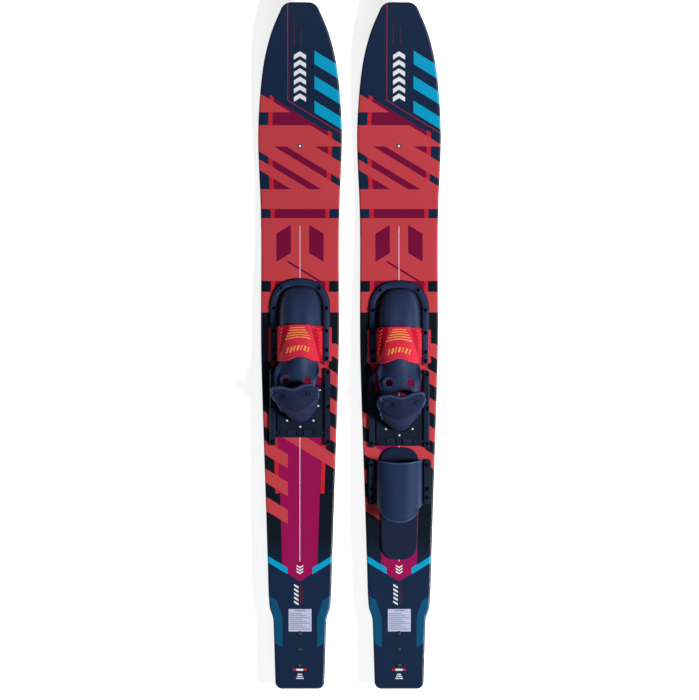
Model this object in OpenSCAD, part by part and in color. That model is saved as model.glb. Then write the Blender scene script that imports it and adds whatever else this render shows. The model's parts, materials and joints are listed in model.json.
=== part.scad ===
// A pair of water skis with slide-adjustable rubber bindings. The second ski also has a rear toe piece.
// Each ski is drawn in its own frame: x across, y forward from the tail, z up from the flat base.
// on_ski() then rests it on the floor, on its fin and its forebody.

/* [Pair] */
// Distance between the two skis' centre lines
ski_pitch = 239; // [225:1:400]

/* [Board] */
// Length of each ski
ski_length = 1651; // [1640:1:1680]
// Board thickness under the bindings
waist_thickness = 20; // [18:0.5:22]
// Board thickness at the tail
tail_thickness = 14; // [12:0.5:16]
// Board thickness at the tip
tip_thickness = 11; // [9:0.5:14]
// Height that the tip's base rises to above the flat base
tip_rise = 85; // [60:1:110]
// Where the base starts to rise, from the tail
rocker_start = 1130; // [1080:1:1180]
// Depth of the tunnel along the base
tunnel_depth = 2.5; // [1.5:0.5:3]
// Distance of the tip's eyelet from the tail
eyelet_y = 1309; // [1290:1:1330]
// Bore of the tip's eyelet
eyelet_bore = 5.5; // [5:0.5:6]

/* [Fin] */
// Depth of the fin below the flat base
fin_depth = 48; // [42:1:60]
// Thickness of the fin's blade
fin_thickness = 7; // [6.5:0.5:9]
// Distance between the fin's screws
fin_screw_pitch = 37.5; // [35:0.5:40]
// Distance of the middle fin screw from the tail
fin_middle_y = 95; // [92:1:100]

/* [Front binding] */
// Front edge of the first ski's toe frame, from the tail
toe_front_y = 987; // [980:1:1000]
// How much further back the second ski's binding is set
second_setback = 5; // [0:1:10]
// Half width of the toe frame
frame_half = 71; // [70:0.5:72]
// Height of the toe rubber's arch
toe_arch = 46; // [42:1:48]
// Height of the instep strap's arch at its rear edge
strap_arch = 60; // [58:1:64]
// Thickness of the moulded rubber
rubber_t = 3; // [2.6:0.1:3.2]

/* [Heel] */
// Front edge of the first ski's heel plate, from the tail
first_heel_y = 729; // [712:1:760]
// Front edge of the second ski's heel plate, from the tail
second_heel_y = 708.5; // [707:0.5:755]
// Length of the heel plate
plate_length = 124; // [122:1:126]
// Half width of the heel's top plate
plate_half = 54; // [53:0.5:55]
// Height of the heel rubber above its plate
heel_height = 86; // [80:1:92]
// Pitch of the lock teeth on the rails
tooth_pitch = 10; // [10:0.5:12]

/* [Rear toe piece] */
// Front edge of the rear foot pad, from the tail
pad_front_y = 581; // [579:1:582]
// Length of the rear foot pad
pad_length = 270; // [260:1:280]
// Thickness of the rear foot pad
pad_t = 6; // [4:0.5:8]
// Height of the rear toe strap's arch at its rear edge
rear_arch = 60; // [54:1:64]

/* [Hidden] */
$fn = 40;
LEFT = -1;
RIGHT = 1;
eps = 0.01;

// Colours
navy = [0.10, 0.15, 0.24];
plate_blue = [0.12, 0.17, 0.28];
rubber_blue = [0.16, 0.22, 0.37];
strap_red = [0.84, 0.17, 0.25];

// Board outline: [share of the length from the tail, half width]
OUTLINE = [
    [0.0115, 59.3], [0.0903, 63.4], [0.1042, 65.2], [0.1200, 73.4], [0.1866, 77.8],
    [0.2744, 82.4], [0.3622, 87.4], [0.4785, 93.4], [0.5373, 94.4], [0.6542, 93.9],
    [0.7123, 95.8], [0.7705, 100.0], [0.8116, 101.3], [0.8583, 97.8], [0.9019, 90.4],
    [0.9316, 81.1], [0.9606, 66.9], [0.9901, 45.8]
];
tail_corner = 17;
tip_corner = 28;
tip_corner_start = 25;
tail_flat_end = 170;
waist_start = 420;
waist_end = 1030;
tunnel_half = 50;

// Fasteners
screw_r = 2.45;
screw_hole_r = 2.7;
head_r = 4.2;
head_h = 3;
insert_r = 3.7;
insert_length = 13;
clearance = 0.05;
// Keeps the eyelet's flat rim clear of the deck's curve
rim_gap = 0.15;
rim_h = 1.05;

// Heights above the flat base, on the flat deck under the bindings
deck_z = waist_thickness;
flange_t = 2;
flange_top = deck_z + flange_t;
arch_foot = deck_z + 1;
frame_t = 6;
frame_band = 14.5;
boss_t = 7.5;

// Places along the binding, from the front edge of the toe frame
frame_leg_end = -199;
strap_front = -116;
strap_rear = -199;
toe_pocket_rear = -125;
toe_width = 50.5;
toe_depth = 108;
toe_power = 3.4;
strap_width = 55;
tongue_front = -172;
rail_front = -216;
rail_length = 185.5;
TOE_SCREWS = [[45.8, -21.3], [63.6, -70], [63.6, -125], [63.6, -171], [63.6, -192]];
RAIL_SCREWS = [-225, -307.5, -392];

// Rail section
rail_inner = 58.7;
rail_outer = 73.1;
rail_screw_x = 68;
rail_h = 9.5;
rail_notches = 8;
notch_depth = 1.9;

// Heel unit: heights and places behind its front edge
slide_gap = 0.3;
base_t = 3;
base_half = 61;
heel_flange_t = 2.5;
base_top = deck_z + slide_gap + base_t;
top_plate_z = base_top + heel_flange_t;
top_plate_top = top_plate_z + 3;
cup_half = 40;
cup_front = 4;
cup_depth = 84;
cup_power = 2.4;
tab_half = 57;
tab_reach = 77;
tab_skew = 0.09;
tab_dip = 8.5;
ear_trim = 0.2;
ear_notch = 30;
lean_power = 3.2;
spread_power = 2.2;
RIVETS = [[47, 9.5], [43.5, 47.7], [32, 82.8]];
REAR_RIVET = [0, 98];
catch_d = 112.5;
catch_w = 8;
catch_bottom = base_top + 0.6;
catch_top = catch_bottom + 3.6;
catch_tip = 58.4;
pad_inner = 10;
pad_outer = 30;

// Rear toe piece, from the tail
bar_front = 550.5;
bar_length = 104;
bar_inner = 59.5;
bar_outer = 74;
bar_screw_x = 66.5;
BAR_SCREWS = [538, 481, 459.5];
rear_strap_half = 56;

// How far a flange reaches in under the foot of its arch, from the arch's outer face
foot_inset = rubber_t + 1.2;

// Per ski: how far the loose rubbers lean sideways, and where the bindings are
function tongue_lean(side) = side == LEFT ? -11 : 2;
function heel_lean(side) = side == LEFT ? -17 : 7;
function toe_y(side) = side == LEFT ? toe_front_y : toe_front_y - second_setback;
function heel_y(side) = side == LEFT ? first_heel_y : second_heel_y;

// ---------- curves ----------

function lerp(a, b, t) = a + (b - a) * t;
function ease(t) = let (c = min(max(t, 0), 1)) c * c * (3 - 2 * c);
function station_slope(s, i) =
    let (a = max(i - 1, 0), b = min(i + 1, len(s) - 1)) (s[b][1] - s[a][1]) / (s[b][0] - s[a][0]);
function span_at(s, f, i = 0) = i >= len(s) - 2 || f < s[i + 1][0] ? i : span_at(s, f, i + 1);
function curve_between(s, f, i) =
    let (h = s[i + 1][0] - s[i][0], t = (f - s[i][0]) / h)
    (2 * t * t * t - 3 * t * t + 1) * s[i][1]
    + (t * t * t - 2 * t * t + t) * h * station_slope(s, i)
    + (3 * t * t - 2 * t * t * t) * s[i + 1][1]
    + (t * t * t - t * t) * h * station_slope(s, i + 1);
function smooth_curve(s, f) = curve_between(s, f, span_at(s, f));

// An arch from +half to -half: superellipse quarter powers give steep sides and a flat crown
function arch_x(half, a, power) = half * sign(cos(a)) * pow(abs(cos(a)), 2 / power);
function arch_z(rise, a, power) = rise * pow(abs(sin(a)), 2 / power);
function arch_points(half, rise, power, steps) =
    [for (i = [0:steps]) [arch_x(half, 180 * i / steps, power), arch_z(rise, 180 * i / steps, power)]];

// ---------- board shape ----------

function base_at(y) =
    y < rocker_start ? 0 : tip_rise * pow((y - rocker_start) / (ski_length - rocker_start), 2);
function thickness_at(y) =
    y < waist_start
    ? lerp(tail_thickness, waist_thickness, ease((y - tail_flat_end) / (waist_start - tail_flat_end)))
    : lerp(waist_thickness, tip_thickness, ease((y - waist_end) / (ski_length - waist_end)));
function deck_at(y) = base_at(y) + thickness_at(y);
function deck_slope(y) = atan((deck_at(y + 1) - deck_at(y - 1)) / 2);

TAIL_ROWS = [for (i = [0:6]) lerp(tail_flat_end, waist_start, i / 6)];
TIP_ROWS = [for (i = [0:18]) lerp(waist_end, ski_length, i / 18)];
BASE_ROWS = concat([0, rocker_start], [for (y = TIP_ROWS) if (y > rocker_start + 5) y]);

// Resting attitude: the tilt at which the fin and the forebody touch the floor together
fin_tip_r = 8;
fin_tip_y = 50;
function seated(y, z, t) = z * cos(t) - y * sin(t);
function fin_low(t) = seated(fin_tip_y, fin_tip_r - fin_depth, t) - fin_tip_r;
function base_low(t) = min([for (y = BASE_ROWS) seated(y, base_at(y), t)]);
function solve_tilt(low, high, n) =
    let (mid = (low + high) / 2)
    n == 0 ? mid : fin_low(mid) < base_low(mid) ? solve_tilt(mid, high, n - 1) : solve_tilt(low, mid, n - 1);
tilt = solve_tilt(0.5, 6, 30);
lift = -base_low(tilt);
tail_end = tunnel_depth * sin(tilt);
tip_end = ski_length * cos(tilt) + deck_at(ski_length) * sin(tilt);
middle_y = (tail_end + tip_end) / 2;

module on_ski(side) {
    translate([side * ski_pitch / 2, -middle_y, lift]) rotate([-tilt, 0, 0]) children();
}

module at_deck(y) {
    translate([0, y, deck_at(y)]) rotate([deck_slope(y), 0, 0]) children();
}

module both_sides() {
    children();
    mirror([1, 0, 0]) children();
}

// The half outline from the tail's middle to the tip's middle
function half_outline() = concat(
    [for (i = [0:6]) let (a = -90 + 13 * i)
        [OUTLINE[0][1] - tail_corner + tail_corner * cos(a), tail_corner + tail_corner * sin(a)]],
    [for (i = [0:52]) let (f = lerp(OUTLINE[0][0], OUTLINE[len(OUTLINE) - 1][0], i / 52))
        [smooth_curve(OUTLINE, f), f * ski_length]],
    [for (i = [1:7]) let (a = lerp(tip_corner_start, 90, i / 7))
        [OUTLINE[len(OUTLINE) - 1][1] + tip_corner * (cos(a) - cos(tip_corner_start)),
         ski_length - tip_corner + tip_corner * sin(a)]]
);

module board_plan() {
    half = half_outline();
    polygon(concat(half, [for (i = [len(half) - 1:-1:0]) [-half[i][0], half[i][1]]]));
}

module board_profile() {
    deck_rows = concat([0], TAIL_ROWS, TIP_ROWS);
    polygon(concat(
        [for (y = BASE_ROWS) [y, base_at(y)]],
        [for (i = [len(deck_rows) - 1:-1:0]) [deck_rows[i], deck_at(deck_rows[i])]]
    ));
}

// Extrudes a (y, z) outline across the ski
module across(width) {
    rotate([90, 0, 90]) translate([0, 0, -width / 2]) linear_extrude(width) children();
}

// Extrudes an (x, z) outline along the ski, from y back by length
module along(y, length) {
    translate([0, y, 0]) rotate([90, 0, 0]) linear_extrude(length) children();
}

module base_tunnel() {
    along(waist_end + 270, waist_end + 280)
        polygon([[-tunnel_half, -1], [-tunnel_half + 8, tunnel_depth], [tunnel_half - 8, tunnel_depth],
                 [tunnel_half, -1]]);
}

module board(side) {
    color(navy) difference() {
        intersection() {
            linear_extrude(tip_rise + 2 * waist_thickness) board_plan();
            across(260) board_profile();
        }
        base_tunnel();
        fin_screw_places() translate([0, 0, -1]) cylinder(r = screw_hole_r, h = tail_thickness + 2);
        at_deck(eyelet_y) translate([0, 0, -30]) cylinder(r = 4.5, h = 60);
        insert_places(side)
            translate([0, 0, deck_z - insert_length]) cylinder(r = insert_r + clearance, h = insert_length + 1);
    }
}

// ---------- fastener places ----------

module fin_screw_places() {
    for (i = [-1:1]) translate([0, fin_middle_y + i * fin_screw_pitch, 0]) children();
}

module toe_screw_places(side) {
    for (p = TOE_SCREWS) both_sides() translate([p[0], toe_y(side) + p[1], 0]) children();
}

module rail_screw_places(side) {
    for (y = RAIL_SCREWS) both_sides() translate([rail_screw_x, toe_y(side) + y, 0]) children();
}

module bar_screw_places() {
    for (y = BAR_SCREWS) both_sides() translate([bar_screw_x, y, 0]) children();
}

module insert_places(side) {
    toe_screw_places(side) children();
    rail_screw_places(side) children();
    if (side == RIGHT) bar_screw_places() children();
}

// A screw with a domed head and a hexagon socket; z = 0 is under the head
module pan_screw(length) {
    difference() {
        union() {
            cylinder(r = head_r, h = head_h * 0.55);
            translate([0, 0, head_h * 0.55]) cylinder(r1 = head_r, r2 = head_r * 0.62, h = head_h * 0.45);
            translate([0, 0, -length]) cylinder(r = screw_r, h = length + eps);
        }
        translate([0, 0, head_h - 1.8]) cylinder(r = 1.7, h = 2, $fn = 6);
    }
}

// ---------- fin ----------

module fin_blade_outline() {
    hull() {
        translate([34, 2]) circle(r = 2);
        translate([150, 2]) circle(r = 2);
        translate([fin_tip_y, fin_tip_r - fin_depth]) circle(r = fin_tip_r);
        translate([84, 16 - fin_depth]) circle(r = 12);
    }
}

module fin() {
    foot_t = 4;
    color([0.09, 0.10, 0.12]) difference() {
        union() {
            across(fin_thickness) intersection() {
                fin_blade_outline();
                translate([0, -100]) square([200, 100 + tunnel_depth]);
            }
            translate([0, 0, tunnel_depth - foot_t]) linear_extrude(foot_t) hull() {
                translate([0, 42]) circle(r = 16);
                translate([0, 148]) circle(r = 14);
            }
        }
        fin_screw_places() translate([0, 0, tunnel_depth - 16]) cylinder(r = 3, h = 20);
    }
}

module fin_inserts() {
    color([0.75, 0.60, 0.30]) fin_screw_places() translate([0, 0, tunnel_depth - 15]) difference() {
        cylinder(r = 3 - clearance, h = 14);
        translate([0, 0, 1]) cylinder(r = screw_r + clearance, h = 14);
    }
}

module fin_washers() {
    color([0.18, 0.20, 0.24]) fin_screw_places() translate([0, 0, tail_thickness]) difference() {
        union() {
            cylinder(r = 6.5, h = 0.8);
            translate([0, 0, 0.8 - eps]) cylinder(r1 = 6.2, r2 = 5.2, h = 1.2);
        }
        translate([0, 0, -1]) cylinder(r = screw_hole_r, h = 4);
        translate([0, 0, 0.8]) cylinder(r = head_r + 0.3, h = 4);
    }
}

module fin_screws() {
    color([0.55, 0.57, 0.60]) fin_screw_places() translate([0, 0, tail_thickness + 0.8])
        pan_screw(tail_thickness + 0.8 - tunnel_depth + 11);
}

module tip_eyelet() {
    t = thickness_at(eyelet_y);
    color([0.70, 0.72, 0.75]) at_deck(eyelet_y) difference() {
        union() {
            translate([0, 0, -t + 1]) cylinder(r = 4.5 - clearance, h = t);
            translate([0, 0, rim_gap]) cylinder(r1 = 5.8, r2 = 5.0, h = rim_h);
        }
        translate([0, 0, -t - 5]) cylinder(d = eyelet_bore, h = t + 10);
    }
}

module binding_inserts(side) {
    color([0.75, 0.60, 0.30]) insert_places(side) translate([0, 0, deck_z - insert_length]) difference() {
        cylinder(r = insert_r, h = insert_length);
        translate([0, 0, 1]) cylinder(r = screw_r + clearance, h = insert_length);
    }
}

// ---------- front binding ----------

// The plan of a horseshoe arch, its front edge at y and open towards the tail
module arch_plan(half, y, depth, power, rear) {
    translate([0, y - depth]) polygon(concat(
        arch_points(half, depth, power, 36),
        [[-half, rear - y + depth], [half, rear - y + depth]]
    ));
}

module horseshoe(inset, rear) {
    difference() {
        arch_plan(frame_half - inset, -inset, 75, 2.4, rear + inset);
        arch_plan(frame_half - frame_band + inset, inset - 16, 62, 2.6, rear - 10);
    }
}

module toe_frame(side) {
    color(plate_blue) translate([0, toe_y(side), flange_top]) difference() {
        union() {
            linear_extrude(frame_t - 1.6) horseshoe(0, frame_leg_end);
            linear_extrude(frame_t - 0.7) horseshoe(0.8, frame_leg_end);
            linear_extrude(frame_t) horseshoe(2, frame_leg_end);
            for (p = TOE_SCREWS) both_sides() translate([p[0], p[1], 0]) cylinder(r = 6.3, h = boss_t);
        }
        for (p = TOE_SCREWS) both_sides() translate([p[0], p[1], 0]) {
            translate([0, 0, -1]) cylinder(r = screw_hole_r, h = boss_t + 2);
            translate([0, 0, boss_t - 1.5]) cylinder(r = head_r + 0.4, h = 3);
        }
    }
}

module toe_screws(side) {
    color([0.10, 0.11, 0.14]) toe_screw_places(side) translate([0, 0, flange_top + boss_t - 1.5])
        pan_screw(boss_t - 1.5 + flange_t + insert_length - 2);
}

// A closed shell between two grids of points of the same size, outer and inner
module shell(outer, inner) {
    rows = len(outer);
    cols = len(outer[0]);
    n = rows * cols;
    points = concat([for (r = outer) each r], [for (r = inner) each r]);
    faces = concat(
        [for (i = [0:rows - 2], j = [0:cols - 2]) let (a = i * cols + j) each
            [[a, a + cols, a + 1], [a + 1, a + cols, a + cols + 1]]],
        [for (i = [0:rows - 2], j = [0:cols - 2]) let (a = n + i * cols + j) each
            [[a, a + 1, a + cols], [a + 1, a + cols + 1, a + cols]]],
        [for (i = [0:rows - 2]) let (a = i * cols, b = a + cols - 1) each
            [[a, a + n, a + cols], [a + cols, a + n, a + cols + n],
             [b, b + cols, b + n], [b + cols, b + cols + n, b + n]]],
        [for (j = [0:cols - 2]) let (a = j, b = (rows - 1) * cols + j) each
            [[a, a + 1, a + n], [a + 1, a + 1 + n, a + n],
             [b, b + n, b + 1], [b + 1, b + n, b + 1 + n]]]
    );
    polyhedron(points, faces);
}

// The toe cap's surface, shrunk by inset: v = 0 is its front point, v = 1 its open rear edge
function toe_row(inset, v) =
    let (s = 4 + 86 * v, reach = pow(cos(s), 2 / toe_power),
         half = (toe_width - inset) * pow(sin(s), 2 / toe_power),
         rise = (toe_arch - inset) * pow(1 - pow(reach, 2.2), 1 / 2.2),
         y = toe_pocket_rear + (toe_depth - inset) * reach)
    [for (i = [0:18]) let (a = 180 * i / 18) [arch_x(half, a, 2.5), y, arch_foot + arch_z(rise, a, 2.5)]];
function toe_nose(inset) =
    [for (i = [0:18]) let (a = 180 * i / 18)
        [arch_x(8 - inset / 2, a, 2.5), toe_pocket_rear + toe_depth + 0.2 - inset,
         arch_foot - 0.4 + arch_z(0.5 - inset / 12, a, 2.5)]];
function toe_grid(inset) = concat([toe_nose(inset)], [for (i = [0:9]) toe_row(inset, i / 9)]);

module toe_rubber(side) {
    color(rubber_blue) translate([0, toe_y(side), 0]) difference() {
        union() {
            shell(toe_grid(0), toe_grid(rubber_t));
            translate([0, 0, deck_z]) linear_extrude(flange_t) difference() {
                arch_plan(frame_half + 2, 2.5, 77, 2.4, strap_front + 1.2);
                arch_plan(toe_width - foot_inset, toe_pocket_rear + toe_depth - foot_inset,
                          toe_depth - foot_inset, toe_power, strap_front - 20);
            }
        }
        for (p = TOE_SCREWS) both_sides() translate([p[0], p[1], deck_z - 1])
            cylinder(r = screw_hole_r, h = flange_t + 2);
    }
}

// The strap's wavy rear edge and bowed front edge, by distance from the centre line
function strap_edge(x, v) =
    lerp(strap_front + 2.5 * (1 - pow(x / strap_width, 2)),
         strap_rear + 12 * exp(-pow(x / 24, 2)) + 1.5 * pow(x / strap_width, 4), v);
function strap_grid(inset) =
    [for (k = [0:5]) let (v = k / 5, half = strap_width - inset, rise = lerp(toe_arch + 4.2, strap_arch, v) - inset)
        [for (i = [0:22]) let (a = 180 * i / 22, x = arch_x(half, a, 2.5))
            [x, strap_edge(x, v), arch_foot + arch_z(rise, a, 2.5)]]];

module instep_strap(side) {
    color(strap_red) translate([0, toe_y(side), 0]) difference() {
        union() {
            shell(strap_grid(0), strap_grid(rubber_t));
            both_sides() translate([0, 0, deck_z]) linear_extrude(flange_t) hull() {
                for (y = [strap_front - 3.4, strap_rear + 4.6]) translate([73.6, y]) circle(r = 4, $fn = 24);
                translate([strap_width - foot_inset, strap_rear + 0.6])
                    square([4, strap_front - strap_rear]);
            }
        }
        for (p = TOE_SCREWS) both_sides() translate([p[0], p[1], deck_z - 1])
            cylinder(r = screw_hole_r, h = flange_t + 2);
    }
}

// The tongue: u runs from -1 to 1 across it, v from its tucked front edge to its two rear lobes
tongue_rear = -269.5;
function tongue_end(u) =
    tongue_rear - 9.5 * pow(sin(90 * min(1, abs(u) / 0.55)), 2)
    + 34 * pow(max(0, (abs(u) - 0.55) / 0.45), 4);
function tongue_half(v) = 44 + 9 * ease((v - 0.3) / 0.45) - 2.5 * ease((v - 0.8) / 0.2);
function tongue_point(side, u, v, drop) =
    let (x = u * tongue_half(v), crown = arch_foot + strap_arch - rubber_t - 2.8 + 4 * v,
         sag = lerp(0.0135, 0.0052, ease((v - 0.28) / 0.45)))
    [x + tongue_lean(side) * pow(v, 1.5), lerp(tongue_front, tongue_end(u), v), crown - sag * x * x - drop];
function tongue_grid(side, drop) =
    [for (i = [0:10]) [for (j = [0:16]) tongue_point(side, 1 - j / 8, i / 10, drop)]];

module tongue(side) {
    hole_x = 26;
    hole_y = -247;
    color(rubber_blue) translate([0, toe_y(side), 0]) difference() {
        shell(tongue_grid(side, 0), tongue_grid(side, rubber_t));
        for (s = [-1, 1]) translate([s * hole_x + tongue_lean(side) * 0.65, hole_y, deck_z + 20])
            cylinder(r = 9.8, h = 80);
    }
}

// ---------- heel ----------

module rail_section() {
    foot = base_half + 0.4;
    lip = base_top + 0.4;
    top = deck_z + rail_h;
    polygon([[foot, deck_z], [rail_outer, deck_z], [rail_outer, top - 2.4], [rail_outer - 2, top],
             [rail_inner + 2, top], [rail_inner, top - 1.6], [rail_inner, lip], [foot, lip]]);
}

// One rail, drawn on the +x side; side_x is -1 for the other one
module rail(side, side_x) {
    front = toe_y(side) + rail_front;
    color(plate_blue) scale([side_x, 1, 1]) difference() {
        intersection() {
            along(front, rail_length) rail_section();
            linear_extrude(60) hull() {
                for (y = [front - 5, front - rail_length + 5], x = [rail_inner + 5, rail_outer - 5])
                    translate([x, y]) circle(r = 5, $fn = 32);
            }
        }
        for (i = [0:rail_notches - 1])
            translate([rail_inner - 1, front - rail_length + 9 + i * tooth_pitch, base_top])
                cube([notch_depth + 1, 5, 4.6]);
        for (y = RAIL_SCREWS) translate([rail_screw_x, toe_y(side) + y, 0]) {
            translate([0, 0, deck_z - 1]) cylinder(r = screw_hole_r, h = 20);
            translate([0, 0, deck_z + rail_h - 2.4]) cylinder(r = head_r + 0.4, h = 5);
        }
    }
}

module rail_screws(side) {
    color([0.10, 0.11, 0.14]) rail_screw_places(side) translate([0, 0, deck_z + rail_h - 2.4])
        pan_screw(rail_h - 2.4 + insert_length - 2);
}

module rivet_places() {
    for (p = RIVETS) both_sides() translate([p[0], -p[1], 0]) children();
    translate([REAR_RIVET[0], -REAR_RIVET[1], 0]) children();
}

// The U-shaped opening that the heel stands in, grown from the cup's base line
module cup_opening(grow) {
    translate([0, -cup_front]) scale([1, -1]) polygon(concat(
        arch_points(cup_half + grow, cup_depth + grow, cup_power, 36),
        [[-cup_half - grow, -20], [cup_half + grow, -20]]
    ));
}

module plate_plan(half) {
    hull() both_sides() {
        translate([half - 3, -3]) circle(r = 3, $fn = 32);
        translate([half - 3, -plate_length + 3]) circle(r = 3, $fn = 32);
    }
}

module in_heel(side) {
    translate([0, heel_y(side), 0]) children();
}

module heel_base_plate(side) {
    color(plate_blue) in_heel(side) difference() {
        translate([0, 0, deck_z + slide_gap]) linear_extrude(base_t) difference() {
            plate_plan(base_half);
            cup_opening(-6);
        }
        rivet_places() {
            translate([0, 0, deck_z - 1]) cylinder(r = 2.05, h = 10);
            translate([0, 0, deck_z]) cylinder(r = 3.3, h = slide_gap + 1.2);
        }
    }
}

module catch_channel() {
    translate([-plate_half - 1, -catch_d - catch_w / 2 - 0.2, base_top - 1])
        cube([2 * plate_half + 2, catch_w + 0.4, catch_top - base_top + 1.3]);
    both_sides() translate([6.5, -catch_d - 6, catch_top + 0.2 - eps]) cube([27, 12, 12]);
}

module heel_flange_plan(grow) {
    difference() {
        intersection() {
            cup_opening(15 + grow);
            translate([-plate_half + 1.6 - grow, -103 - grow])
                square([2 * (plate_half - 1.6 + grow), 101.4 + 2 * grow]);
        }
        cup_opening(-5);
    }
}

module heel_top_plate(side) {
    color(plate_blue) in_heel(side) difference() {
        union() {
            translate([0, 0, base_top]) linear_extrude(top_plate_top - base_top) plate_plan(plate_half);
            translate([0, 0, base_top]) linear_extrude(top_plate_top + 1.6 - base_top)
                translate([-plate_half + 6, -plate_length + 2]) square([2 * plate_half - 12, 18]);
        }
        translate([0, 0, base_top - 1]) linear_extrude(heel_flange_t + 1) heel_flange_plan(0.15);
        translate([0, 0, base_top - 1]) linear_extrude(20) cup_opening(2.5);
        catch_channel();
        rivet_places() translate([0, 0, base_top - 1]) cylinder(r = 2.05, h = 20);
    }
}

module heel_rivets(side) {
    color([0.82, 0.84, 0.86]) in_heel(side) rivet_places() {
        translate([0, 0, deck_z + slide_gap + 0.1]) cylinder(r = 3.2, h = 1);
        translate([0, 0, deck_z + slide_gap + 0.1]) cylinder(r = 2, h = top_plate_top - deck_z);
        translate([0, 0, top_plate_top]) cylinder(r = 3, h = 0.6);
        translate([0, 0, top_plate_top + 0.6 - eps]) cylinder(r1 = 3, r2 = 1.6, h = 0.9);
    }
}

// The heel cup and its pull tab: u runs round the heel, v from the plate up to the tab's edge
function heel_point(side, u, v, inset) =
    let (notch = pow(sin(180 * v), 1.2), a = 90 * u * (1 - ear_trim * notch),
         forward = pow(v, lean_power), spread = pow(v, spread_power),
         base_x = (cup_half - inset) * sign(u) * pow(abs(sin(a)), 2 / cup_power),
         base_d = cup_front + (cup_depth - inset) * pow(cos(a), 2 / cup_power),
         tab_x = tab_half * sign(u) * pow(abs(sin(a)), 0.9),
         tab_d = cup_front + cup_depth - tab_reach - tab_dip * ease(abs(tab_x) / 32)
             + 0.06 * pow(max(0, abs(tab_x) - 46), 2) - inset * (1 - abs(u)),
         rise = (heel_height - inset * 0.6 * spread) * (1 - 0.10 * u * u),
         near_edge = min(1, max(0, (v - 0.84) / 0.16)),
         corner = 1 - 0.17 * pow(abs(u), 5) * (1 - sqrt(1 - near_edge * near_edge)))
    [lerp(base_x, tab_x, spread) * corner + heel_lean(side) * forward,
     tab_skew * tab_x * forward - lerp(base_d, tab_d, forward) - ear_notch * pow(u, 4) * notch,
     base_top + heel_flange_t / 2 + rise * v - inset * 0.5 * spread];
function heel_grid(side, inset) =
    [for (i = [0:13]) [for (j = [0:20]) heel_point(side, j / 10 - 1, i / 13, inset)]];

module heel_rubber(side) {
    color(rubber_blue) in_heel(side) difference() {
        union() {
            shell(heel_grid(side, -1), heel_grid(side, rubber_t - 1));
            translate([0, 0, base_top]) linear_extrude(heel_flange_t) heel_flange_plan(0);
        }
        rivet_places() translate([0, 0, base_top - 1]) cylinder(r = 2.05, h = heel_flange_t + 2);
    }
}

// One lock catch on the +x side: a toothed slider with a ribbed finger pad
module catch_slider(side, side_x) {
    pad_w = 11;
    color([0.16, 0.22, 0.34]) in_heel(side) scale([side_x, 1, 1]) translate([0, -catch_d, 0]) difference() {
        union() {
            translate([pad_inner, -catch_w / 2, catch_bottom])
                cube([54 - pad_inner, catch_w, catch_top - catch_bottom]);
            translate([53, -2.2, catch_bottom]) cube([catch_tip - 53, 4.4, catch_top - catch_bottom]);
            translate([pad_inner, -pad_w / 2, catch_top + 0.3]) cube([pad_outer - pad_inner, pad_w, 3.2]);
            translate([pad_inner, -catch_w / 2, catch_top - 1]) cube([pad_outer - pad_inner, catch_w, 2]);
        }
        for (i = [0:4]) translate([pad_inner + 2.5 + i * 3.6, -pad_w / 2 - 1, catch_top + 2.7])
            cube([1.4, pad_w + 2, 2]);
        translate([pad_inner - 1, 0, (catch_bottom + catch_top) / 2]) rotate([0, 90, 0]) cylinder(r = 1.9, h = 3);
    }
}

// The helix that pushes the two catches apart
module catch_spring(side) {
    turns = 7;
    per_turn = 10;
    sides = 5;
    wire_r = 0.3;
    coil_r = 1.35;
    reach = pad_inner + 1.6;
    steps = turns * per_turn;
    rings = [for (i = [0:steps]) let (a = 360 * i / per_turn, x = lerp(-reach, reach, i / steps))
        [for (j = [0:sides - 1]) let (b = 360 * j / sides, r = coil_r + wire_r * cos(b))
            [x + wire_r * sin(b), r * cos(a), r * sin(a)]]];
    n = len(rings);
    faces = concat(
        [for (i = [0:n - 2], j = [0:sides - 1]) let (k = (j + 1) % sides, a = i * sides, b = a + sides) each
            [[a + j, b + j, a + k], [a + k, b + j, b + k]]],
        [[for (j = [0:sides - 1]) j]],
        [[for (j = [sides - 1:-1:0]) (n - 1) * sides + j]]
    );
    color([0.75, 0.77, 0.80]) in_heel(side) translate([0, -catch_d, (catch_bottom + catch_top) / 2])
        polyhedron([for (r = rings) each r], faces);
}

// ---------- rear toe piece ----------

module rear_pad() {
    r = 34;
    color([0.09, 0.12, 0.19]) translate([0, 0, deck_z]) linear_extrude(pad_t) hull() {
        for (s = [-1, 1]) {
            translate([s * (47 - r), pad_front_y - r]) circle(r = r, $fn = 64);
            translate([s * (42 - r), pad_front_y - pad_length + r]) circle(r = r, $fn = 64);
        }
    }
}

// The strap's edges, by distance from the centre line: it reaches furthest back over the instep
function rear_strap_rear(x) =
    let (c = abs(x)) c < 43 ? 431 - 30 * sqrt(1 - pow(c / 43, 2)) : lerp(431, 447, (c - 43) / 13);
function rear_strap_front(x) = 541 + 8 * pow(x / rear_strap_half, 2);
function rear_strap_grid(inset) =
    [for (k = [0:7]) let (v = k / 7, half = rear_strap_half - inset, rise = lerp(42, rear_arch, v) - inset)
        [for (i = [0:24]) let (a = 180 * i / 24, x = arch_x(half, a, 2.4))
            [x, lerp(rear_strap_front(x), rear_strap_rear(x), v), arch_foot + arch_z(rise, a, 2.4)]]];

module bar_plan(grow) {
    hull() for (x = [bar_inner + 5, bar_outer - 5], y = [bar_front - 5, bar_front - bar_length + 5])
        translate([x, y]) circle(r = 5 + grow, $fn = 32);
}

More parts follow.
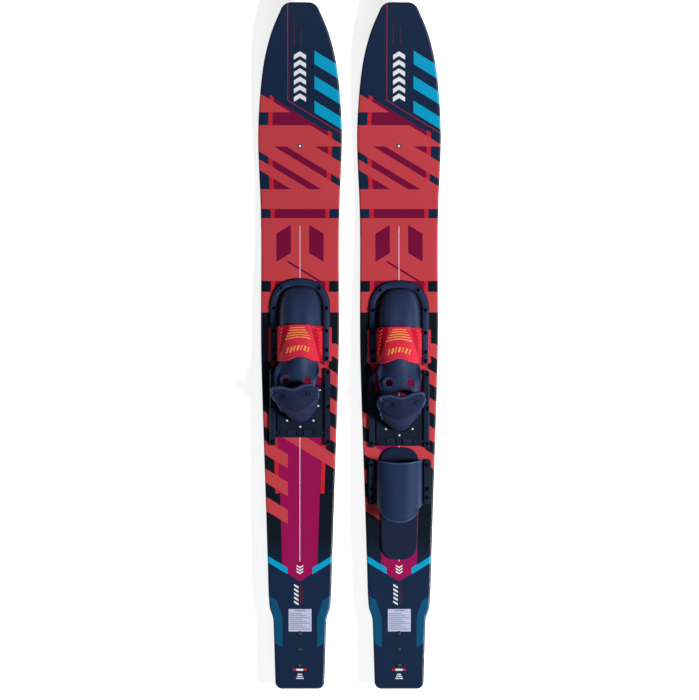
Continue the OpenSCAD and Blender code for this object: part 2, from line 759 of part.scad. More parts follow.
module rear_strap() {
    color(rubber_blue) difference() {
        union() {
            shell(rear_strap_grid(0), rear_strap_grid(rubber_t));
            both_sides() translate([0, 0, deck_z]) linear_extrude(flange_t) {
                bar_plan(3);
                translate([rear_strap_half - foot_inset, bar_front - bar_length - 1])
                    square([10, bar_length + 2]);
            }
        }
        bar_screw_places() translate([0, 0, deck_z - 1]) cylinder(r = screw_hole_r, h = flange_t + 2);
    }
}

module rear_bars() {
    color(plate_blue) difference() {
        both_sides() translate([0, 0, flange_top]) {
            linear_extrude(7) bar_plan(0);
            linear_extrude(8.5) bar_plan(-1.2);
        }
        bar_screw_places() {
            translate([0, 0, deck_z]) cylinder(r = screw_hole_r, h = 20);
            translate([0, 0, flange_top + 6.5]) cylinder(r = head_r + 0.4, h = 5);
        }
    }
}

module rear_screws() {
    color([0.10, 0.11, 0.14]) bar_screw_places() translate([0, 0, flange_top + 6.5])
        pan_screw(6.5 + flange_t + insert_length - 2);
}

// ---------- the pair ----------

on_ski(LEFT) board(LEFT);  // left_board
on_ski(LEFT) fin();  // left_fin
on_ski(LEFT) fin_inserts();  // left_fin_inserts
on_ski(LEFT) fin_screws();  // left_fin_screws
on_ski(LEFT) fin_washers();  // left_fin_washers
on_ski(LEFT) tip_eyelet();  // left_tip_eyelet
on_ski(LEFT) binding_inserts(LEFT);  // left_binding_inserts
on_ski(LEFT) toe_frame(LEFT);  // left_toe_frame
on_ski(LEFT) toe_screws(LEFT);  // left_toe_screws
on_ski(LEFT) toe_rubber(LEFT);  // left_toe_rubber
on_ski(LEFT) instep_strap(LEFT);  // left_instep_strap
on_ski(LEFT) tongue(LEFT);  // left_tongue
on_ski(LEFT) rail(LEFT, -1);  // left_outer_rail
on_ski(LEFT) rail(LEFT, 1);  // left_inner_rail
on_ski(LEFT) rail_screws(LEFT);  // left_rail_screws
on_ski(LEFT) heel_base_plate(LEFT);  // left_heel_base_plate
on_ski(LEFT) heel_top_plate(LEFT);  // left_heel_top_plate
on_ski(LEFT) heel_rubber(LEFT);  // left_heel_rubber
on_ski(LEFT) heel_rivets(LEFT);  // left_heel_rivets
on_ski(LEFT) catch_slider(LEFT, -1);  // left_outer_catch
on_ski(LEFT) catch_slider(LEFT, 1);  // left_inner_catch
on_ski(LEFT) catch_spring(LEFT);  // left_catch_spring
on_ski(RIGHT) board(RIGHT);  // right_board
on_ski(RIGHT) fin();  // right_fin
on_ski(RIGHT) fin_inserts();  // right_fin_inserts
on_ski(RIGHT) fin_screws();  // right_fin_screws
on_ski(RIGHT) fin_washers();  // right_fin_washers
on_ski(RIGHT) tip_eyelet();  // right_tip_eyelet
on_ski(RIGHT) binding_inserts(RIGHT);  // right_binding_inserts
on_ski(RIGHT) toe_frame(RIGHT);  // right_toe_frame
on_ski(RIGHT) toe_screws(RIGHT);  // right_toe_screws
on_ski(RIGHT) toe_rubber(RIGHT);  // right_toe_rubber
on_ski(RIGHT) instep_strap(RIGHT);  // right_instep_strap
on_ski(RIGHT) tongue(RIGHT);  // right_tongue
on_ski(RIGHT) rail(RIGHT, -1);  // right_inner_rail
on_ski(RIGHT) rail(RIGHT, 1);  // right_outer_rail
on_ski(RIGHT) rail_screws(RIGHT);  // right_rail_screws
on_ski(RIGHT) heel_base_plate(RIGHT);  // right_heel_base_plate
on_ski(RIGHT) heel_top_plate(RIGHT);  // right_heel_top_plate
on_ski(RIGHT) heel_rubber(RIGHT);  // right_heel_rubber
on_ski(RIGHT) heel_rivets(RIGHT);  // right_heel_rivets
on_ski(RIGHT) catch_slider(RIGHT, -1);  // right_inner_catch
on_ski(RIGHT) catch_slider(RIGHT, 1);  // right_outer_catch
on_ski(RIGHT) catch_spring(RIGHT);  // right_catch_spring
on_ski(RIGHT) rear_pad();  // right_rear_pad
on_ski(RIGHT) rear_strap();  // right_rear_strap
on_ski(RIGHT) rear_bars();  // right_rear_bars
on_ski(RIGHT) rear_screws();  // right_rear_screws
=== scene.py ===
import bmesh
import bpy
import json
import math
import numpy as np
from mathutils import Matrix, Vector


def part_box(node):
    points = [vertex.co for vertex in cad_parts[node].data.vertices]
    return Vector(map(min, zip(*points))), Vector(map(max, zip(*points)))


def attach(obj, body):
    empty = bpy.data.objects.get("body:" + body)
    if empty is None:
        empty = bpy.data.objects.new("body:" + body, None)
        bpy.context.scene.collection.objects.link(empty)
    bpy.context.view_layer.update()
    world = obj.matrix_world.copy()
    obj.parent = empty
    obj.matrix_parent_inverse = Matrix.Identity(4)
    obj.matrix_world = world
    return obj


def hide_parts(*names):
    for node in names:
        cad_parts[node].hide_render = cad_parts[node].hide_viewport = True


MM = 0.001
SIDES = {"left": -1, "right": 1}

# ---------- the CAD frame ----------

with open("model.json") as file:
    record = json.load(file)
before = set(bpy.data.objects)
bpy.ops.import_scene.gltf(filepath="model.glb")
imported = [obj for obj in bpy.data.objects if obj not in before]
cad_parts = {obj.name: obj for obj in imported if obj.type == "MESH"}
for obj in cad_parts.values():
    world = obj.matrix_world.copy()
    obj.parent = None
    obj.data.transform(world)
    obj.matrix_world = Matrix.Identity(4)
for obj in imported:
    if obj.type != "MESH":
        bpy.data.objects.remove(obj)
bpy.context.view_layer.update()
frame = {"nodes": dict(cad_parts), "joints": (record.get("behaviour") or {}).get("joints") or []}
nodes = frame["nodes"]


def slide_axis(name):
    return next(j for j in frame["joints"] if j["name"] == name)["axis"]


# Each ski rests nose-down on its fin and forebody; the heel slide runs along its base.
SLIDE = slide_axis("left_heel_slide")
TILT = math.atan2(-SLIDE[2], SLIDE[1])
FIN_TIP_Y, FIN_TIP_Z, FIN_TIP_R = 50, -40, 8  # the arc that the fin stands on
TAIL_FACE_Z = 2.5  # where the tail's end face begins, above its rounded base edge
LIFT = FIN_TIP_Y * math.sin(TILT) - FIN_TIP_Z * math.cos(TILT) + FIN_TIP_R
PITCH = (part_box("right_board")[0].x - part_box("left_board")[0].x) / MM
TAIL_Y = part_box("left_board")[0].y / MM - TAIL_FACE_Z * math.sin(TILT)
TO_FLOOR = {
    side: Matrix.Translation(Vector((sign * PITCH / 2, TAIL_Y, LIFT)) * MM) @ Matrix.Rotation(-TILT, 4, "X")
    for side, sign in SIDES.items()
}

# ---------- sizes ----------
# Millimetres in a ski's own frame: x across, y from the tail, z from the base.

LENGTH = 1651
TAIL_T, WAIST_T, TIP_T = 14, 20, 11
TIP_RISE, ROCKER_START = 85, 1130
TAIL_FLAT_END, WAIST_START, WAIST_END = 170, 420, 1030
TUNNEL_HALF, TUNNEL_DEPTH, TUNNEL_END, TUNNEL_FADE, TUNNEL_WALL = 50, 2.5, 1240, 120, 8
TAIL_CORNER, TAIL_CORNER_END = 17, -10  # radius, and the angle where the corner's arc ends
TIP_CORNER, TIP_CORNER_START = 28, 25
BASE_EDGE_R, DECK_EDGE_R = 2.2, 4.5
EYELET_Y, EYELET_R = 1309, 4.5
OUTLINE = [
    (0.0115, 59.3), (0.0903, 63.4), (0.1042, 65.2), (0.1200, 73.4), (0.1866, 77.8), (0.2744, 82.4),
    (0.3622, 87.4), (0.4785, 93.4), (0.5373, 94.4), (0.6542, 93.9), (0.7123, 95.8), (0.7705, 100.0),
    (0.8116, 101.3), (0.8583, 97.8), (0.9019, 90.4), (0.9316, 81.1), (0.9606, 66.9), (0.9901, 45.8),
]

DECK = WAIST_T
FLANGE_T = 2
FLANGE_TOP = DECK + FLANGE_T
ARCH_FOOT = DECK + 1
RUBBER_T = 3
FLANGE_IN = RUBBER_T + 1.2  # how far the flat flanges reach in under their arches
TOE_Y = {"left": 987, "right": 982}
HEEL_Y = {"left": 729, "right": 708.5}
TONGUE_LEAN = {"left": -11, "right": 2}
HEEL_LEAN = {"left": -17, "right": 7}
STRAP_FRONT, STRAP_REAR = -116, -199
STRAP_HALF, STRAP_ARCH, STRAP_TOE_ARCH = 55, 60, 50.2
STRAP_MARK_X = {"left": -5, "right": 0}
RIB_H, PANEL_H, PANEL_EDGE, LIP_H = 3.2, 0.7, 1.6, 0.7
ARCH_POWER = 2.5
TOE_HALF, TOE_DEPTH, TOE_ARCH, TOE_REAR, TOE_POWER = 50.5, 108, 46, -125, 3.4
TOE_SCREWS = [(45.8, -21.3), (63.6, -70), (63.6, -125), (63.6, -171), (63.6, -192)]
FRAME_HALF, FRAME_BAND, FRAME_LEG_END, FRAME_T = 71, 14.5, -199, 6
FRAME_STEP_IN, FRAME_STEP_Z = 3.2, FLANGE_TOP + 2
BOSS_R, BOSS_BORE, BOSS_T = 6.3, 4.6, 7.5
TONGUE_FRONT, TONGUE_REAR = -172, -269.5
FINGER_X, FINGER_Y, FINGER_R, FINGER_LEAN = 26, -247, 9.8, 0.65
BASE_TOP = DECK + 3.3
HEEL_FLANGE_T = 2.5
CUP_HALF, CUP_FRONT, CUP_DEPTH, CUP_POWER = 40, 4, 84, 2.4
TAB_HALF, TAB_REACH, TAB_SKEW, TAB_DIP, TAB_STEP = 57, 77, 0.09, 8.5, 3.6
EAR_TRIM, EAR_NOTCH, LEAN_POWER, SPREAD_POWER, HEEL_HEIGHT = 0.2, 30, 3.2, 2.2, 86
PAD_FRONT, PAD_LENGTH, PAD_T, PAD_CORNER, PAD_EDGE_R = 581, 270, 6, 34, 2.4
PAD_FRONT_HALF, PAD_REAR_HALF = 47, 43
REAR_HALF, REAR_ARCH, REAR_FRONT_ARCH, REAR_POWER = 56, 60, 42, 2.4
BAR_FRONT, BAR_LENGTH, BAR_OUTER = 550.5, 104, 74

# ---------- curves ----------


def lerp(a, b, t):
    """a at t = 0, b at t = 1, on a straight line between and beyond."""
    return a + (b - a) * t


def ease(t):
    """A smooth step from 0 to 1."""
    c = np.clip(t, 0, 1)
    return c * c * (3 - 2 * c)


def hill(t):
    """A smooth hill: 1 at 0, falling to 0 at 1 and beyond on both sides."""
    return 1 - ease(np.abs(t))


def smooth_curve(stations, f):
    """The smooth curve through the stations, by finite-difference tangents."""
    last = len(stations) - 2
    i = next((k for k in range(last) if f < stations[k + 1][0]), last)

    def slope(k):
        a, b = max(k - 1, 0), min(k + 1, len(stations) - 1)
        return (stations[b][1] - stations[a][1]) / (stations[b][0] - stations[a][0])

    h = stations[i + 1][0] - stations[i][0]
    t = (f - stations[i][0]) / h
    return (
        (2 * t**3 - 3 * t**2 + 1) * stations[i][1] + (t**3 - 2 * t**2 + t) * h * slope(i)
        + (3 * t**2 - 2 * t**3) * stations[i + 1][1] + (t**3 - t**2) * h * slope(i + 1)
    )


def arch_x(half, a, power):
    """Across an arch, at the angle a round it; power 2 is an ellipse, more is squarer."""
    return half * np.sign(np.cos(a)) * np.abs(np.cos(a)) ** (2 / power)


def arch_z(rise, a, power):
    """Up the same arch."""
    return rise * np.abs(np.sin(a)) ** (2 / power)


def base_at(y):
    """Height of the base, which curves up at the tip."""
    return TIP_RISE * np.maximum(0, (y - ROCKER_START) / (LENGTH - ROCKER_START)) ** 2


def thickness_at(y):
    tail = lerp(TAIL_T, WAIST_T, ease((y - TAIL_FLAT_END) / (WAIST_START - TAIL_FLAT_END)))
    tip = lerp(WAIST_T, TIP_T, ease((y - WAIST_END) / (LENGTH - WAIST_END)))
    return np.where(y < WAIST_START, tail, tip)


def deck_at(y):
    return base_at(y) + thickness_at(y)


# ---------- meshes ----------


class Parts:
    """Collects grids and solids, in a ski's own frame in millimetres, that make up one piece."""

    def __init__(self):
        self.verts, self.faces, self.material = [], [], []

    def add(self, verts, faces, material=0):
        start = len(self.verts)
        self.verts.extend([tuple(map(float, v)) for v in verts])
        self.faces.extend([tuple(start + i for i in f) for f in faces])
        self.material.extend(material if isinstance(material, list) else [material] * len(faces))

    def piece(self, name, side, body, slot, node, looks, angle=35, **uvs):
        """The piece laid on the floor, riding on a body in place of a CAD node of the same ski."""
        mesh = bpy.data.meshes.new(f"{side}_{name}")
        mesh.from_pydata([TO_FLOOR[side] @ (Vector(v) * MM) for v in self.verts], [], self.faces)
        for look in looks:
            mesh.materials.append(look)
        mesh.polygons.foreach_set("material_index", np.array(self.material, dtype=np.int32))
        mesh.polygons.foreach_set("use_smooth", [True] * len(mesh.polygons))
        corner = np.zeros(len(mesh.loops), dtype=np.int32)
        mesh.loops.foreach_get("vertex_index", corner)
        for layer_name, values in {"Plan": np.array(self.verts)[:, :2], **uvs}.items():
            layer = mesh.uv_layers.new(name=layer_name)
            layer.data.foreach_set("uv", (values * MM).astype(np.float32)[corner].ravel())
        mesh.update()
        obj = bpy.data.objects.new(mesh.name, mesh)
        bpy.context.scene.collection.objects.link(obj)
        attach(obj, f"{side}_{body}")
        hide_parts(f"{side}_{node}")
        return tidy(obj, angle)


def grid_faces(rows, cols, wrap=False, flip=False):
    """The quads of a grid of points; wrap joins its last column to its first."""
    faces = []
    for i in range(rows - 1):
        for j in range(cols if wrap else cols - 1):
            k = (j + 1) % cols
            quad = (i * cols + j, i * cols + k, (i + 1) * cols + k, (i + 1) * cols + j)
            faces.append(quad[::-1] if flip else quad)
    return faces


def normals_of(grid):
    n = np.cross(np.gradient(grid, axis=0), np.gradient(grid, axis=1))
    return n / np.maximum(np.linalg.norm(n, axis=2, keepdims=True), 1e-9)


def add_shell(parts, outer, inner, rim_steps, keep=None, looks=None):
    """A closed shell between two grids, its rim rounded over.

    keep says which cells stay, and looks gives the material at each point.
    """
    rows, cols, _ = outer.shape
    count = rows * cols
    stays = np.ones((rows - 1, cols - 1), bool) if keep is None else keep
    looks = np.zeros((rows, cols), int) if looks is None else looks
    cells = np.argwhere(stays).tolist()
    verts = [tuple(v) for grid in (outer, inner) for v in grid.reshape(-1, 3)]
    centre = (outer + inner) / 2
    faces, material, rims = [], [], {}
    for i, j in cells:
        a = i * cols + j
        faces.append((a, a + 1, a + cols + 1, a + cols))
        faces.append((a + count, a + cols + count, a + cols + 1 + count, a + 1 + count))
        material += [looks[i, j]] * 2

    def kept(i, j):
        return 0 <= i < rows - 1 and 0 <= j < cols - 1 and stays[i, j]

    def away_from(i, j):
        """Out of the surface at an edge point: the mean direction from the kept cells round it."""
        total = np.zeros(3)
        for di, dj in ((-1, -1), (-1, 0), (0, -1), (0, 0)):
            if kept(i + di, j + dj):
                cell = centre[i + di : i + di + 2, j + dj : j + dj + 2].reshape(-1, 3).mean(0)
                total += centre[i, j] - cell
        normal = outer[i, j] - inner[i, j]
        normal = normal / max(np.linalg.norm(normal), 1e-9)
        return total - normal * np.dot(total, normal)

    def rim(i, j):
        """The points round the rim at grid point (i, j), from the outer skin to the inner one."""
        if (i, j) not in rims:
            away = away_from(i, j)
            half = outer[i, j] - centre[i, j]
            out = away / max(np.linalg.norm(away), 1e-9) * np.linalg.norm(half)
            ids = [i * cols + j]
            for k in range(1, rim_steps):
                angle = math.pi * k / rim_steps
                ids.append(len(verts))
                verts.append(tuple(centre[i, j] + half * math.cos(angle) + out * math.sin(angle)))
            rims[i, j] = ids + [i * cols + j + count]
        return rims[i, j]

    for i, j in cells:
        for beside, p, q in (
            ((i - 1, j), (i, j + 1), (i, j)),
            ((i + 1, j), (i + 1, j), (i + 1, j + 1)),
            ((i, j - 1), (i, j), (i + 1, j)),
            ((i, j + 1), (i + 1, j + 1), (i, j + 1)),
        ):
            if not kept(*beside):
                a, b = rim(*p), rim(*q)
                faces += [(a[k], a[k + 1], b[k + 1], b[k]) for k in range(rim_steps)]
                material += [looks[p]] * rim_steps
    used = sorted({v for f in faces for v in f})
    index = {v: k for k, v in enumerate(used)}
    parts.add([verts[v] for v in used], [tuple(index[v] for v in f) for f in faces], material)


def add_tube(parts, path, radius, material, sides, closed=False):
    """A round bead along a path, with rounded ends. The radius may change from point to point."""
    path = np.asarray(path, float)
    radii = np.full(len(path), radius)
    ends = 0 if closed else 3
    tangents = np.gradient(path, axis=0)
    if closed:
        tangents = np.roll(path, -1, axis=0) - np.roll(path, 1, axis=0)
    tangents /= np.maximum(np.linalg.norm(tangents, axis=1, keepdims=True), 1e-9)
    up = np.array([0.13, 0.21, 0.97])

    def ring(centre, tangent, r):
        side = np.cross(tangent, up)
        side /= np.linalg.norm(side)
        top = np.cross(side, tangent)
        turns = [2 * math.pi * k / sides for k in range(sides)]
        return [centre + r * (math.cos(a) * side + math.sin(a) * top) for a in turns]

    def cap(end, way):
        """The rings that round off one end, from the path outwards."""
        angles = [math.pi / 2 * k / (ends + 0.5) for k in range(1, ends + 1)]
        t, r = tangents[end], radii[end]
        return [ring(path[end] + t * way * r * math.sin(a), t, r * math.cos(a)) for a in angles]

    rings = cap(0, -1)[::-1] + [ring(*point) for point in zip(path, tangents, radii)] + cap(-1, 1)
    if closed:
        rings.append(rings[0])
    faces = grid_faces(len(rings), sides, wrap=True)
    if not closed:
        faces.append(tuple(range(sides))[::-1])
        faces.append(tuple((len(rings) - 1) * sides + k for k in range(sides)))
    parts.add([v for r in rings for v in r], faces, material)


def add_plate(parts, outlines, z0, z1, bevel, material=0):
    """A flat plate between two heights from closed outlines, holes included, with rounded edges."""
    curve = bpy.data.curves.new("plate", "CURVE")
    curve.dimensions = "2D"
    curve.fill_mode = "BOTH"
    for outline in outlines:
        spline = curve.splines.new("POLY")
        spline.points.add(len(outline) - 1)
        for point, (x, y) in zip(spline.points, outline):
            point.co = (x, y, 0, 1)
        spline.use_cyclic_u = True
    curve.extrude = (z1 - z0) / 2 - bevel
    curve.bevel_depth = bevel
    curve.bevel_resolution = 3
    curve.offset = -bevel
    obj = bpy.data.objects.new("plate", curve)
    bpy.context.scene.collection.objects.link(obj)
    mesh = bpy.data.meshes.new_from_object(obj.evaluated_get(bpy.context.evaluated_depsgraph_get()))
    verts = [(v.co.x, v.co.y, v.co.z + (z0 + z1) / 2) for v in mesh.vertices]
    parts.add(verts, [tuple(p.vertices) for p in mesh.polygons], material)
    bpy.data.objects.remove(obj)
    bpy.data.curves.remove(curve)
    bpy.data.meshes.remove(mesh)


def tidy(obj, angle, merge=0.00001):
    """Joins doubled points and keeps edges sharper than the angle crisp."""
    bm = bmesh.new()
    bm.from_mesh(obj.data)
    bmesh.ops.remove_doubles(bm, verts=bm.verts, dist=merge)
    bmesh.ops.dissolve_degenerate(bm, dist=merge / 2, edges=bm.edges)
    bmesh.ops.recalc_face_normals(bm, faces=bm.faces)
    for edge in bm.edges:
        if len(edge.link_faces) == 2:
            edge.smooth = edge.calc_face_angle(0) < math.radians(angle)
    bm.to_mesh(obj.data)
    bm.free()
    return obj


def circle(x, y, r, n=32):
    turns = [2 * math.pi * k / n for k in range(n)]
    return [(x + r * math.cos(a), y + r * math.sin(a)) for a in turns]


def shifted(outline, dy):
    return [(x, y + dy) for x, y in outline]


# ---------- materials ----------


def srgb(r, g, b):
    """Linear colour from a screen colour's 0 to 255 values."""
    linear = [((c / 255 + 0.055) / 1.055) ** 2.4 if c > 10 else c / 255 / 12.92 for c in (r, g, b)]
    return (*linear, 1.0)


def toned(colour, share, lift=0.0):
    """A darker or paler tone of a colour."""
    return (*(min(1.0, c * share + lift) for c in colour[:3]), 1.0)


NAVY = srgb(20, 40, 70)
DARK = srgb(11, 22, 33)
CORAL = srgb(203, 67, 76)
RED = srgb(204, 36, 52)
BURGUNDY = srgb(122, 12, 60)
MAGENTA = srgb(156, 14, 84)
CYAN = srgb(0, 162, 208)
TEAL = srgb(12, 82, 120)
WHITE = srgb(236, 238, 242)
LILAC = srgb(230, 208, 230)
LABEL = srgb(196, 200, 226)
LABEL_INK = srgb(140, 146, 180)
DIM_RED = srgb(110, 30, 48)
BLACK = srgb(0, 0, 0)


class Nodes:
    """Short calls for building a material's node tree."""

    def __init__(self, name):
        self.material = bpy.data.materials.new(name)
        self.material.use_nodes = True
        self.tree = self.material.node_tree
        self.shader = next(n for n in self.tree.nodes if n.type == "BSDF_PRINCIPLED")

    def new(self, kind, **settings):
        node = self.tree.nodes.new(kind)
        for key, value in settings.items():
            setattr(node, key, value)
        return node

    def wire(self, value, socket):
        if hasattr(value, "is_output"):
            self.tree.links.new(value, socket)
        else:
            socket.default_value = value

    def math(self, operation, *values):
        node = self.new("ShaderNodeMath", operation=operation)
        for value, socket in zip(values, node.inputs):
            self.wire(value, socket)
        return node.outputs[0]

    def between(self, value, low, high):
        """1 where value lies between low and high."""
        return self.math("COMPARE", value, (low + high) / 2, (high - low) / 2)

    def mix(self, factor, a, b):
        node = self.new("ShaderNodeMix", data_type="RGBA")
        self.wire(factor, node.inputs["Factor"])
        self.wire(a, node.inputs[6])
        self.wire(b, node.inputs[7])
        return node.outputs[2]

    def ramp(self, value, stops):
        node = self.new("ShaderNodeValToRGB")
        elements = node.color_ramp.elements
        while len(elements) < len(stops):
            elements.new(0.5)
        for element, (place, shade) in zip(elements, stops):
            element.position = place
            element.color = (shade, shade, shade, 1)
        self.wire(value, node.inputs[0])
        return node.outputs[0]

    def textured(self, kind, output, vector=None, **inputs):
        """A node of one kind, fed with the object's own coordinates or with a vector."""
        node = self.new(kind)
        for key, value in inputs.items():
            node.inputs[key].default_value = value
        self.wire(vector or self.new("ShaderNodeTexCoord").outputs["Object"], node.inputs["Vector"])
        return node.outputs[output]

    def noise(self, scale, detail=2.0, roughness=0.5, vector=None):
        look = dict(Scale=scale, Detail=detail, Roughness=roughness)
        return self.textured("ShaderNodeTexNoise", "Fac", vector, **look)

    def voronoi(self, scale):
        return self.textured("ShaderNodeTexVoronoi", "Distance", Scale=scale)

    def stretched(self, scale):
        return self.textured("ShaderNodeMapping", "Vector", Scale=scale)

    def bump(self, height, strength, distance):
        node = self.new("ShaderNodeBump")
        node.inputs["Strength"].default_value = strength
        node.inputs["Distance"].default_value = distance
        self.wire(height, node.inputs["Height"])
        return node.outputs[0]

    def set(self, **values):
        for key, value in values.items():
            self.wire(value, self.shader.inputs[key.replace("_", " ").title().replace("Ior", "IOR")])
        return self.material


SLOPE, TEAL_SLOPE = 0.607, -0.31  # the graphic's diagonals, and the edge of its blue tail corners
DIAGONALS_RIGHT = ((849, 884), (780, 814), (712, 746), (644, 678))
FAR = 3000

# The deck's print, in layers: colour, then the ranges that bound the shape. x is across, ax its distance
# from the centre line, e the distance in from the deck's edge, y from the tail, d along a diagonal that falls
# to the right, v and p along mirrored diagonals that point to the tail and to the tip, and q the distance out
# from the edge of the blue tail corners.
PRINT = [
    (BURGUNDY, dict(e=(34, FAR), y=(907, 1500), d=(0, 1384))),
    (RED, dict(e=(24, 34), y=(957, 1500), d=(0, 1388))),
    (CORAL, dict(x=(-FAR, -10), y=(1390, 1500), d=(0, 1376))),
    (CORAL, dict(y=(1308, 1359), d=(0, 1374))),
    *[(CORAL, dict(y=(1204, 1309), d=d)) for d in ((1288, 1330), (1236, 1270), (1192, 1218))],
    (CORAL, dict(y=(1157, 1205))),
    (CORAL, dict(y=(983, 1135))),
    (BURGUNDY, dict(ax=(22, 57), p=(1064, 1132))),
    (BURGUNDY, dict(x=(-30, 64), y=(975, 1036), d=(1009, 1014.5))),
    (CORAL, dict(y=(907, 957))),
    (BURGUNDY, dict(e=(34, FAR), y=(500, 907.5))),
    (MAGENTA, dict(e=(35.2, FAR), y=(0, 610), v=(259, FAR))),
    (RED, dict(e=(24, 34), y=(470, 907.5))),
    *[(CORAL, dict(x=(36, FAR), y=(560, 832), d=d)) for d in DIAGONALS_RIGHT],
    *[(CORAL, dict(x=(-FAR, -29), d=d)) for d in ((513, 547), (446, 480), (379, 413))],
    (CORAL, dict(d=(580, 615))),
    (LILAC, dict(ax=(0, 0.95), y=(307, 1116))),
    (CYAN, dict(ax=(30.2, FAR), v=(257.5, 273))),
    (TEAL, dict(ax=(42, FAR), v=(74, 179), q=(-11, FAR))),
    (DIM_RED, dict(x=(1.2, 2.6), y=(204, 254))),
    (DIM_RED, dict(x=(6.2, 7.2), y=(204, 250))),
    (RED, dict(x=(-30.0, -28.8), y=(1418, FAR))),
    (RED, dict(x=(-29.8, FAR), d=(1400.0, 1401.4))),
    (DIM_RED, dict(x=(-14.6, -13.2), y=(1548, 1600))),
    (DIM_RED, dict(x=(3, 4), y=(1552, 1588))),
    *[(CYAN, dict(x=(35, FAR), d=d)) for d in ((1526, 1558), (1468, 1498), (1410, 1439))],
    *[(WHITE, dict(ax=(0, 14.5), p=(1424 + 20 * k, 1435 + 20 * k))) for k in range(6)],
    *[(WHITE, dict(x=(-14, -3), d=(199 + 10 * k, 204 + 10 * k))) for k in range(5)],
    *[(WHITE, dict(ax=(0, 8), v=(276 + 7 * k, 279.5 + 7 * k))) for k in range(3)],
    (LABEL, dict(x=(-27, 28), y=(138, 192))),
    (LABEL_INK, dict(ax=(0, 13), y=(187, 189.5))),
    *[(LABEL_INK, dict(x=(-24, 24 - 9 * (k % 3)), y=(143 + 4.6 * k, 145 + 4.6 * k))) for k in range(9)],
    (WHITE, dict(ax=(0, 8.5), y=(43.5, 48.5))),
    (RED, dict(ax=(10, 16.5), y=(43.5, 48.5))),
    *[(WHITE, dict(ax=(0, 9 - 2 * k), y=(24 + 5 * k, 26.5 + 5 * k))) for k in range(3)],
]


def ski_deck_material():
    """The printed deck: a hard satin sheet over the graphic, with fine grain and light handling scratches."""
    n = Nodes("printed_deck")
    plan = n.new("ShaderNodeSeparateXYZ")
    n.wire(n.new("ShaderNodeUVMap", uv_map="Plan").outputs[0], plan.inputs[0])
    edge = n.new("ShaderNodeSeparateXYZ")
    n.wire(n.new("ShaderNodeUVMap", uv_map="Edge").outputs[0], edge.inputs[0])
    x = n.math("MULTIPLY", plan.outputs[0], 1000)
    y = n.math("MULTIPLY", plan.outputs[1], 1000)
    ax = n.math("ABSOLUTE", x)
    axis = {
        "x": x,
        "y": y,
        "ax": ax,
        "e": n.math("MULTIPLY", edge.outputs[0], 1000),
        "d": n.math("MULTIPLY_ADD", x, SLOPE, y),
        "v": n.math("MULTIPLY_ADD", ax, -SLOPE, y),
        "p": n.math("MULTIPLY_ADD", ax, SLOPE, y),
        "q": n.math("MULTIPLY_ADD", y, TEAL_SLOPE, ax),
    }
    shade = n.noise(3.0, 3.0)
    middle = n.ramp(n.math("DIVIDE", y, LENGTH), [(0.17, 0.0), (0.22, 1.0), (0.61, 1.0), (0.68, 0.0)])
    colour = n.mix(middle, NAVY, DARK)
    for tint, ranges in PRINT:
        mask = None
        for key, (low, high) in ranges.items():
            part = n.between(axis[key], low, high)
            mask = part if mask is None else n.math("MULTIPLY", mask, part)
        colour = n.mix(mask, colour, tint)
    colour = n.mix(n.math("MULTIPLY", shade, 0.10), colour, BLACK)
    fine = n.noise(900.0, 2.0)
    scratch = n.noise(60.0, 6.0, 0.7, n.stretched((14.0, 0.6, 1.0)))
    rough = n.math("MULTIPLY_ADD", n.ramp(scratch, [(0.45, 0.0), (0.62, 1.0)]), 0.10, 0.30)
    return n.set(
        base_color=colour,
        roughness=rough,
        specular_ior_level=0.2,
        coat_weight=0.12,
        coat_roughness=0.2,
        normal=n.bump(fine, 0.05, 0.0002),
    )


def plastic(name, colour, grain=1400.0, rough=0.42, strength=0.12, worn=0.25):
    """Moulded plastic or rubber: a fine spark-eroded grain, with paler dust rubbed into the high spots."""
    n = Nodes(name)
    cloud = n.noise(28.0, 4.0)
    fine = n.noise(grain, 3.0, 0.6)
    dust = n.ramp(n.noise(180.0, 5.0, 0.65), [(0.52, 0.0), (0.75, 1.0)])
    tint = n.mix(cloud, toned(colour, 0.72), colour)
    tint = n.mix(n.math("MULTIPLY", dust, worn), tint, toned(colour, 1.7, 0.01))
    return n.set(
        base_color=tint,
        roughness=n.math("MULTIPLY_ADD", cloud, 0.16, rough - 0.08),
        specular_ior_level=0.25,
        normal=n.bump(fine, strength, 0.0003),
    )


def rubber(name, colour, rough=0.38, shine=0.22):
    """Moulded rubber: soft satin with a faint bloom and a very fine pebble."""
    n = Nodes(name)
    cloud = n.noise(90.0, 4.0)
    pebble = n.voronoi(1500.0)
    bloom = n.ramp(n.noise(220.0, 6.0, 0.7), [(0.5, 0.0), (0.85, 1.0)])
    tint = n.mix(bloom, n.mix(cloud, toned(colour, 0.88), colour), toned(colour, 1.35, 0.008))
    return n.set(
        base_color=tint,
        roughness=n.math("MULTIPLY_ADD", cloud, 0.14, rough - 0.07),
        specular_ior_level=shine,
        normal=n.bump(pebble, 0.10, 0.0004),
    )


def foam(name, colour):
    """Closed-cell foam: matte, with open pores on its cut face."""
    n = Nodes(name)
    pores = n.voronoi(700.0)
    cloud = n.noise(30.0, 4.0)
    return n.set(
        # The pores are darkened toward their centres: painted shade in their pits.
        base_color=n.mix(n.ramp(pores, [(0.12, 0.0), (0.5, 1.0)]), toned(colour, 0.55), colour),
        roughness=n.math("MULTIPLY_ADD", cloud, 0.12, 0.72),
        specular_ior_level=0.15,
        normal=n.bump(pores, 0.45, 0.0008),
    )


